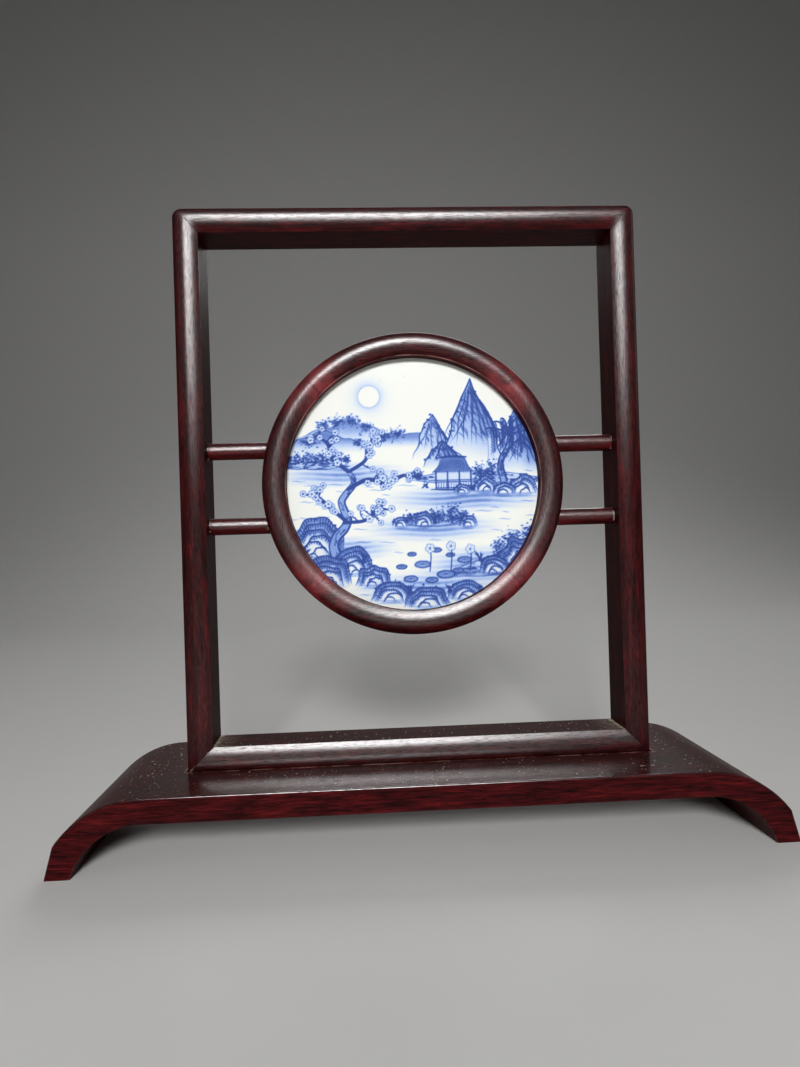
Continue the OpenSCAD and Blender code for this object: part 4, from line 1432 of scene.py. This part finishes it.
def feltCloth(s):
    material, tree, shader, place = newMaterial("greyFelt")
    hairs = noise(tree, place, *s["hairs"])
    clumps = noise(tree, place, *s["clumps"])
    mixed = plus(tree, times(tree, hairs, s["mix"][0]), times(tree, clumps, s["mix"][1]))
    feed(tree, shader, {"Base Color": ramp(tree, mixed, s["stops"], s["colours"]),
                        "Roughness": scaled(tree, hairs, *s["rough"]), "Sheen Weight": s["sheen"],
                        "Normal": bumps(tree, mixed, *s["bump"])})
    return material


def makePad(s):
    low, high = cadBox("backing_pad")
    bm = rod(s["radius"], s["sides"], high.y - low.y, "X", (0, (low.y + high.y) / 2, ringZ))
    soften(bm, [e for e in bm.edges if e.calc_face_angle(0) > 1.0], s["edge"], 3)
    for face in [f for f in bm.faces if len(f.verts) > 8]:
        side = 1 if face.normal.y > 0 else -1
        for thick in s["rings"]:
            bmesh.ops.inset_region(bm, faces=[face], thickness=thick, use_even_offset=True)
            bmesh.ops.translate(bm, vec=(0, -side * s["dimple"] / 2, 0), verts=face.verts[:])
    pad = finishPiece(bm, "backing_pad", "screen", feltCloth(s))


makePad(felt)
print("felt pad built")

# hidden joinery keeps its CAD shape
beechColours = ((0.30, 0.17, 0.08, 1), (0.50, 0.33, 0.18, 1))
plyColours = ((0.10, 0.045, 0.022, 1), (0.20, 0.10, 0.05, 1))
brass = {"tarnish": (260.0, 4.0, 0.6, 0.35, 0.7), "bright": (0.72, 0.50, 0.22, 1),
         "dull": (0.36, 0.22, 0.09, 1), "rough": (0.25, 0.25), "turned": (3000.0, 2.0), "stretch": 0.1,
         "bump": (0.15, 0.0001)}


def dress(names, material):
    for name in names:
        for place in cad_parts[name].material_slots:
            place.material = material


# tarnished brass with faint turning marks
def screwBrass(s):
    material, tree, shader, place = newMaterial("screwBrass")
    tarnish = blotches(tree, place, *s["tarnish"])
    turned = noise(tree, stretched(tree, place, s["stretch"]), *s["turned"])
    feed(tree, shader, {"Base Color": blendColours(tree, tarnish, s["bright"], s["dull"]), "Metallic": 1.0,
                        "Roughness": scaled(tree, tarnish, *s["rough"]),
                        "Normal": bumps(tree, turned, *s["bump"])})
    return material


dress([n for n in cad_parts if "key" in n], plainWood("beech", *beechColours, "X"))
dress(["foot_dowels", "left_peg", "right_peg"], plainWood("beechPeg", *beechColours, "Z"))
dress(["back_board"], plainWood("stainedPlywood", *plyColours, "Z"))
dress(["back_screws"], screwBrass(brass))
print("joinery dressed")

# floor, backdrop and lights
stage = {"paper": (0.76, 0.75, 0.73, 1), "shade": 0.97, "mottle": (30.0, 4.0), "rough": 0.8, "wallY": 2.2,
         "curveR": 1.1, "curveSteps": 24, "half": 7.0, "front": -7.0, "high": 3.5}


def makeStage(s):
    bm = bmesh.new()
    x, curveY = -s["half"], s["wallY"] - s["curveR"]
    at = lineOn(bm, bm.verts.new((x, s["front"], 0)), (x, curveY, 0))
    at = arcOn(bm, at, (x, curveY, s["curveR"]), (1, 0, 0), 90, s["curveSteps"])
    lineOn(bm, at, (x, s["wallY"], s["high"]))
    pushEdges(bm, bm.edges[:], (2 * s["half"], 0, 0))
    bmesh.ops.recalc_face_normals(bm, faces=bm.faces)
    for face in bm.faces:
        face.smooth = True
    mesh = bpy.data.meshes.new("floor")
    bm.to_mesh(mesh)
    bm.free()
    material, tree, shader, place = newMaterial("paper")
    darker = tuple(c * s["shade"] for c in s["paper"][:3]) + (1,)
    colour = blendColours(tree, noise(tree, place, *s["mottle"]), s["paper"], darker)
    feed(tree, shader, {"Base Color": colour, "Roughness": s["rough"]})
    mesh.materials.append(material)
    floor = bpy.data.objects.new("floor", mesh)
    scene.collection.objects.link(floor)


makeStage(stage)

# key and fill give only diffuse light, and the panel only gloss
lamps = {"key": {"place": (-0.08, -1.50, 0.68), "aim": (0, 0, 0.2), "size": (0.34, 0.26), "power": 4.55,
                 "spread": 80.0, "glossy": False},
         "panel": {"place": (-0.05, -1.25, 1.07), "aim": (0, 0, 0.25), "size": (0.8, 1.05), "power": 5.2,
                   "spread": 80.0, "diffuse": False},
         "fill": {"place": (-1.9, -1.0, 0.8), "aim": (0, 0, 0.2), "size": (1.2, 1.2), "power": 3.0,
                  "spread": 180.0, "glossy": False},
         "rear": {"place": (0.3, 1.85, 1.35), "aim": (0, 0, 0.15), "size": (1.3, 0.9), "power": 5.0,
                  "spread": 120.0},
         "side": {"place": (1.9, 0.9, 0.9), "aim": (0, 0, 0.15), "size": (1.0, 1.0), "power": 0.9,
                  "spread": 140.0}}
sky = {"colour": (0.95, 0.97, 1.0, 1), "strength": 0.06}


def makeLamp(name, s):
    data = bpy.data.lights.new(name, "AREA")
    data.shape = "RECTANGLE"
    data.size, data.size_y = s["size"]
    data.energy = s["power"]
    data.spread = math.radians(s["spread"])
    lamp = bpy.data.objects.new(name, data)
    lamp.location = s["place"]
    lamp.visible_camera = False
    lamp.visible_diffuse = s.get("diffuse", True)
    lamp.visible_glossy = s.get("glossy", True)
    lamp.rotation_mode = "QUATERNION"
    lamp.rotation_quaternion = (Vector(s["aim"]) - Vector(s["place"])).to_track_quat("-Z", "Y")
    scene.collection.objects.link(lamp)


for lampName, values in lamps.items():
    makeLamp(lampName, values)

world = bpy.data.worlds.new("studio")
scene.world = world
world.use_nodes = True
background = world.node_tree.nodes["Background"]
background.inputs["Color"].default_value = sky["colour"]
background.inputs["Strength"].default_value = sky["strength"]
print("stage and lights set")
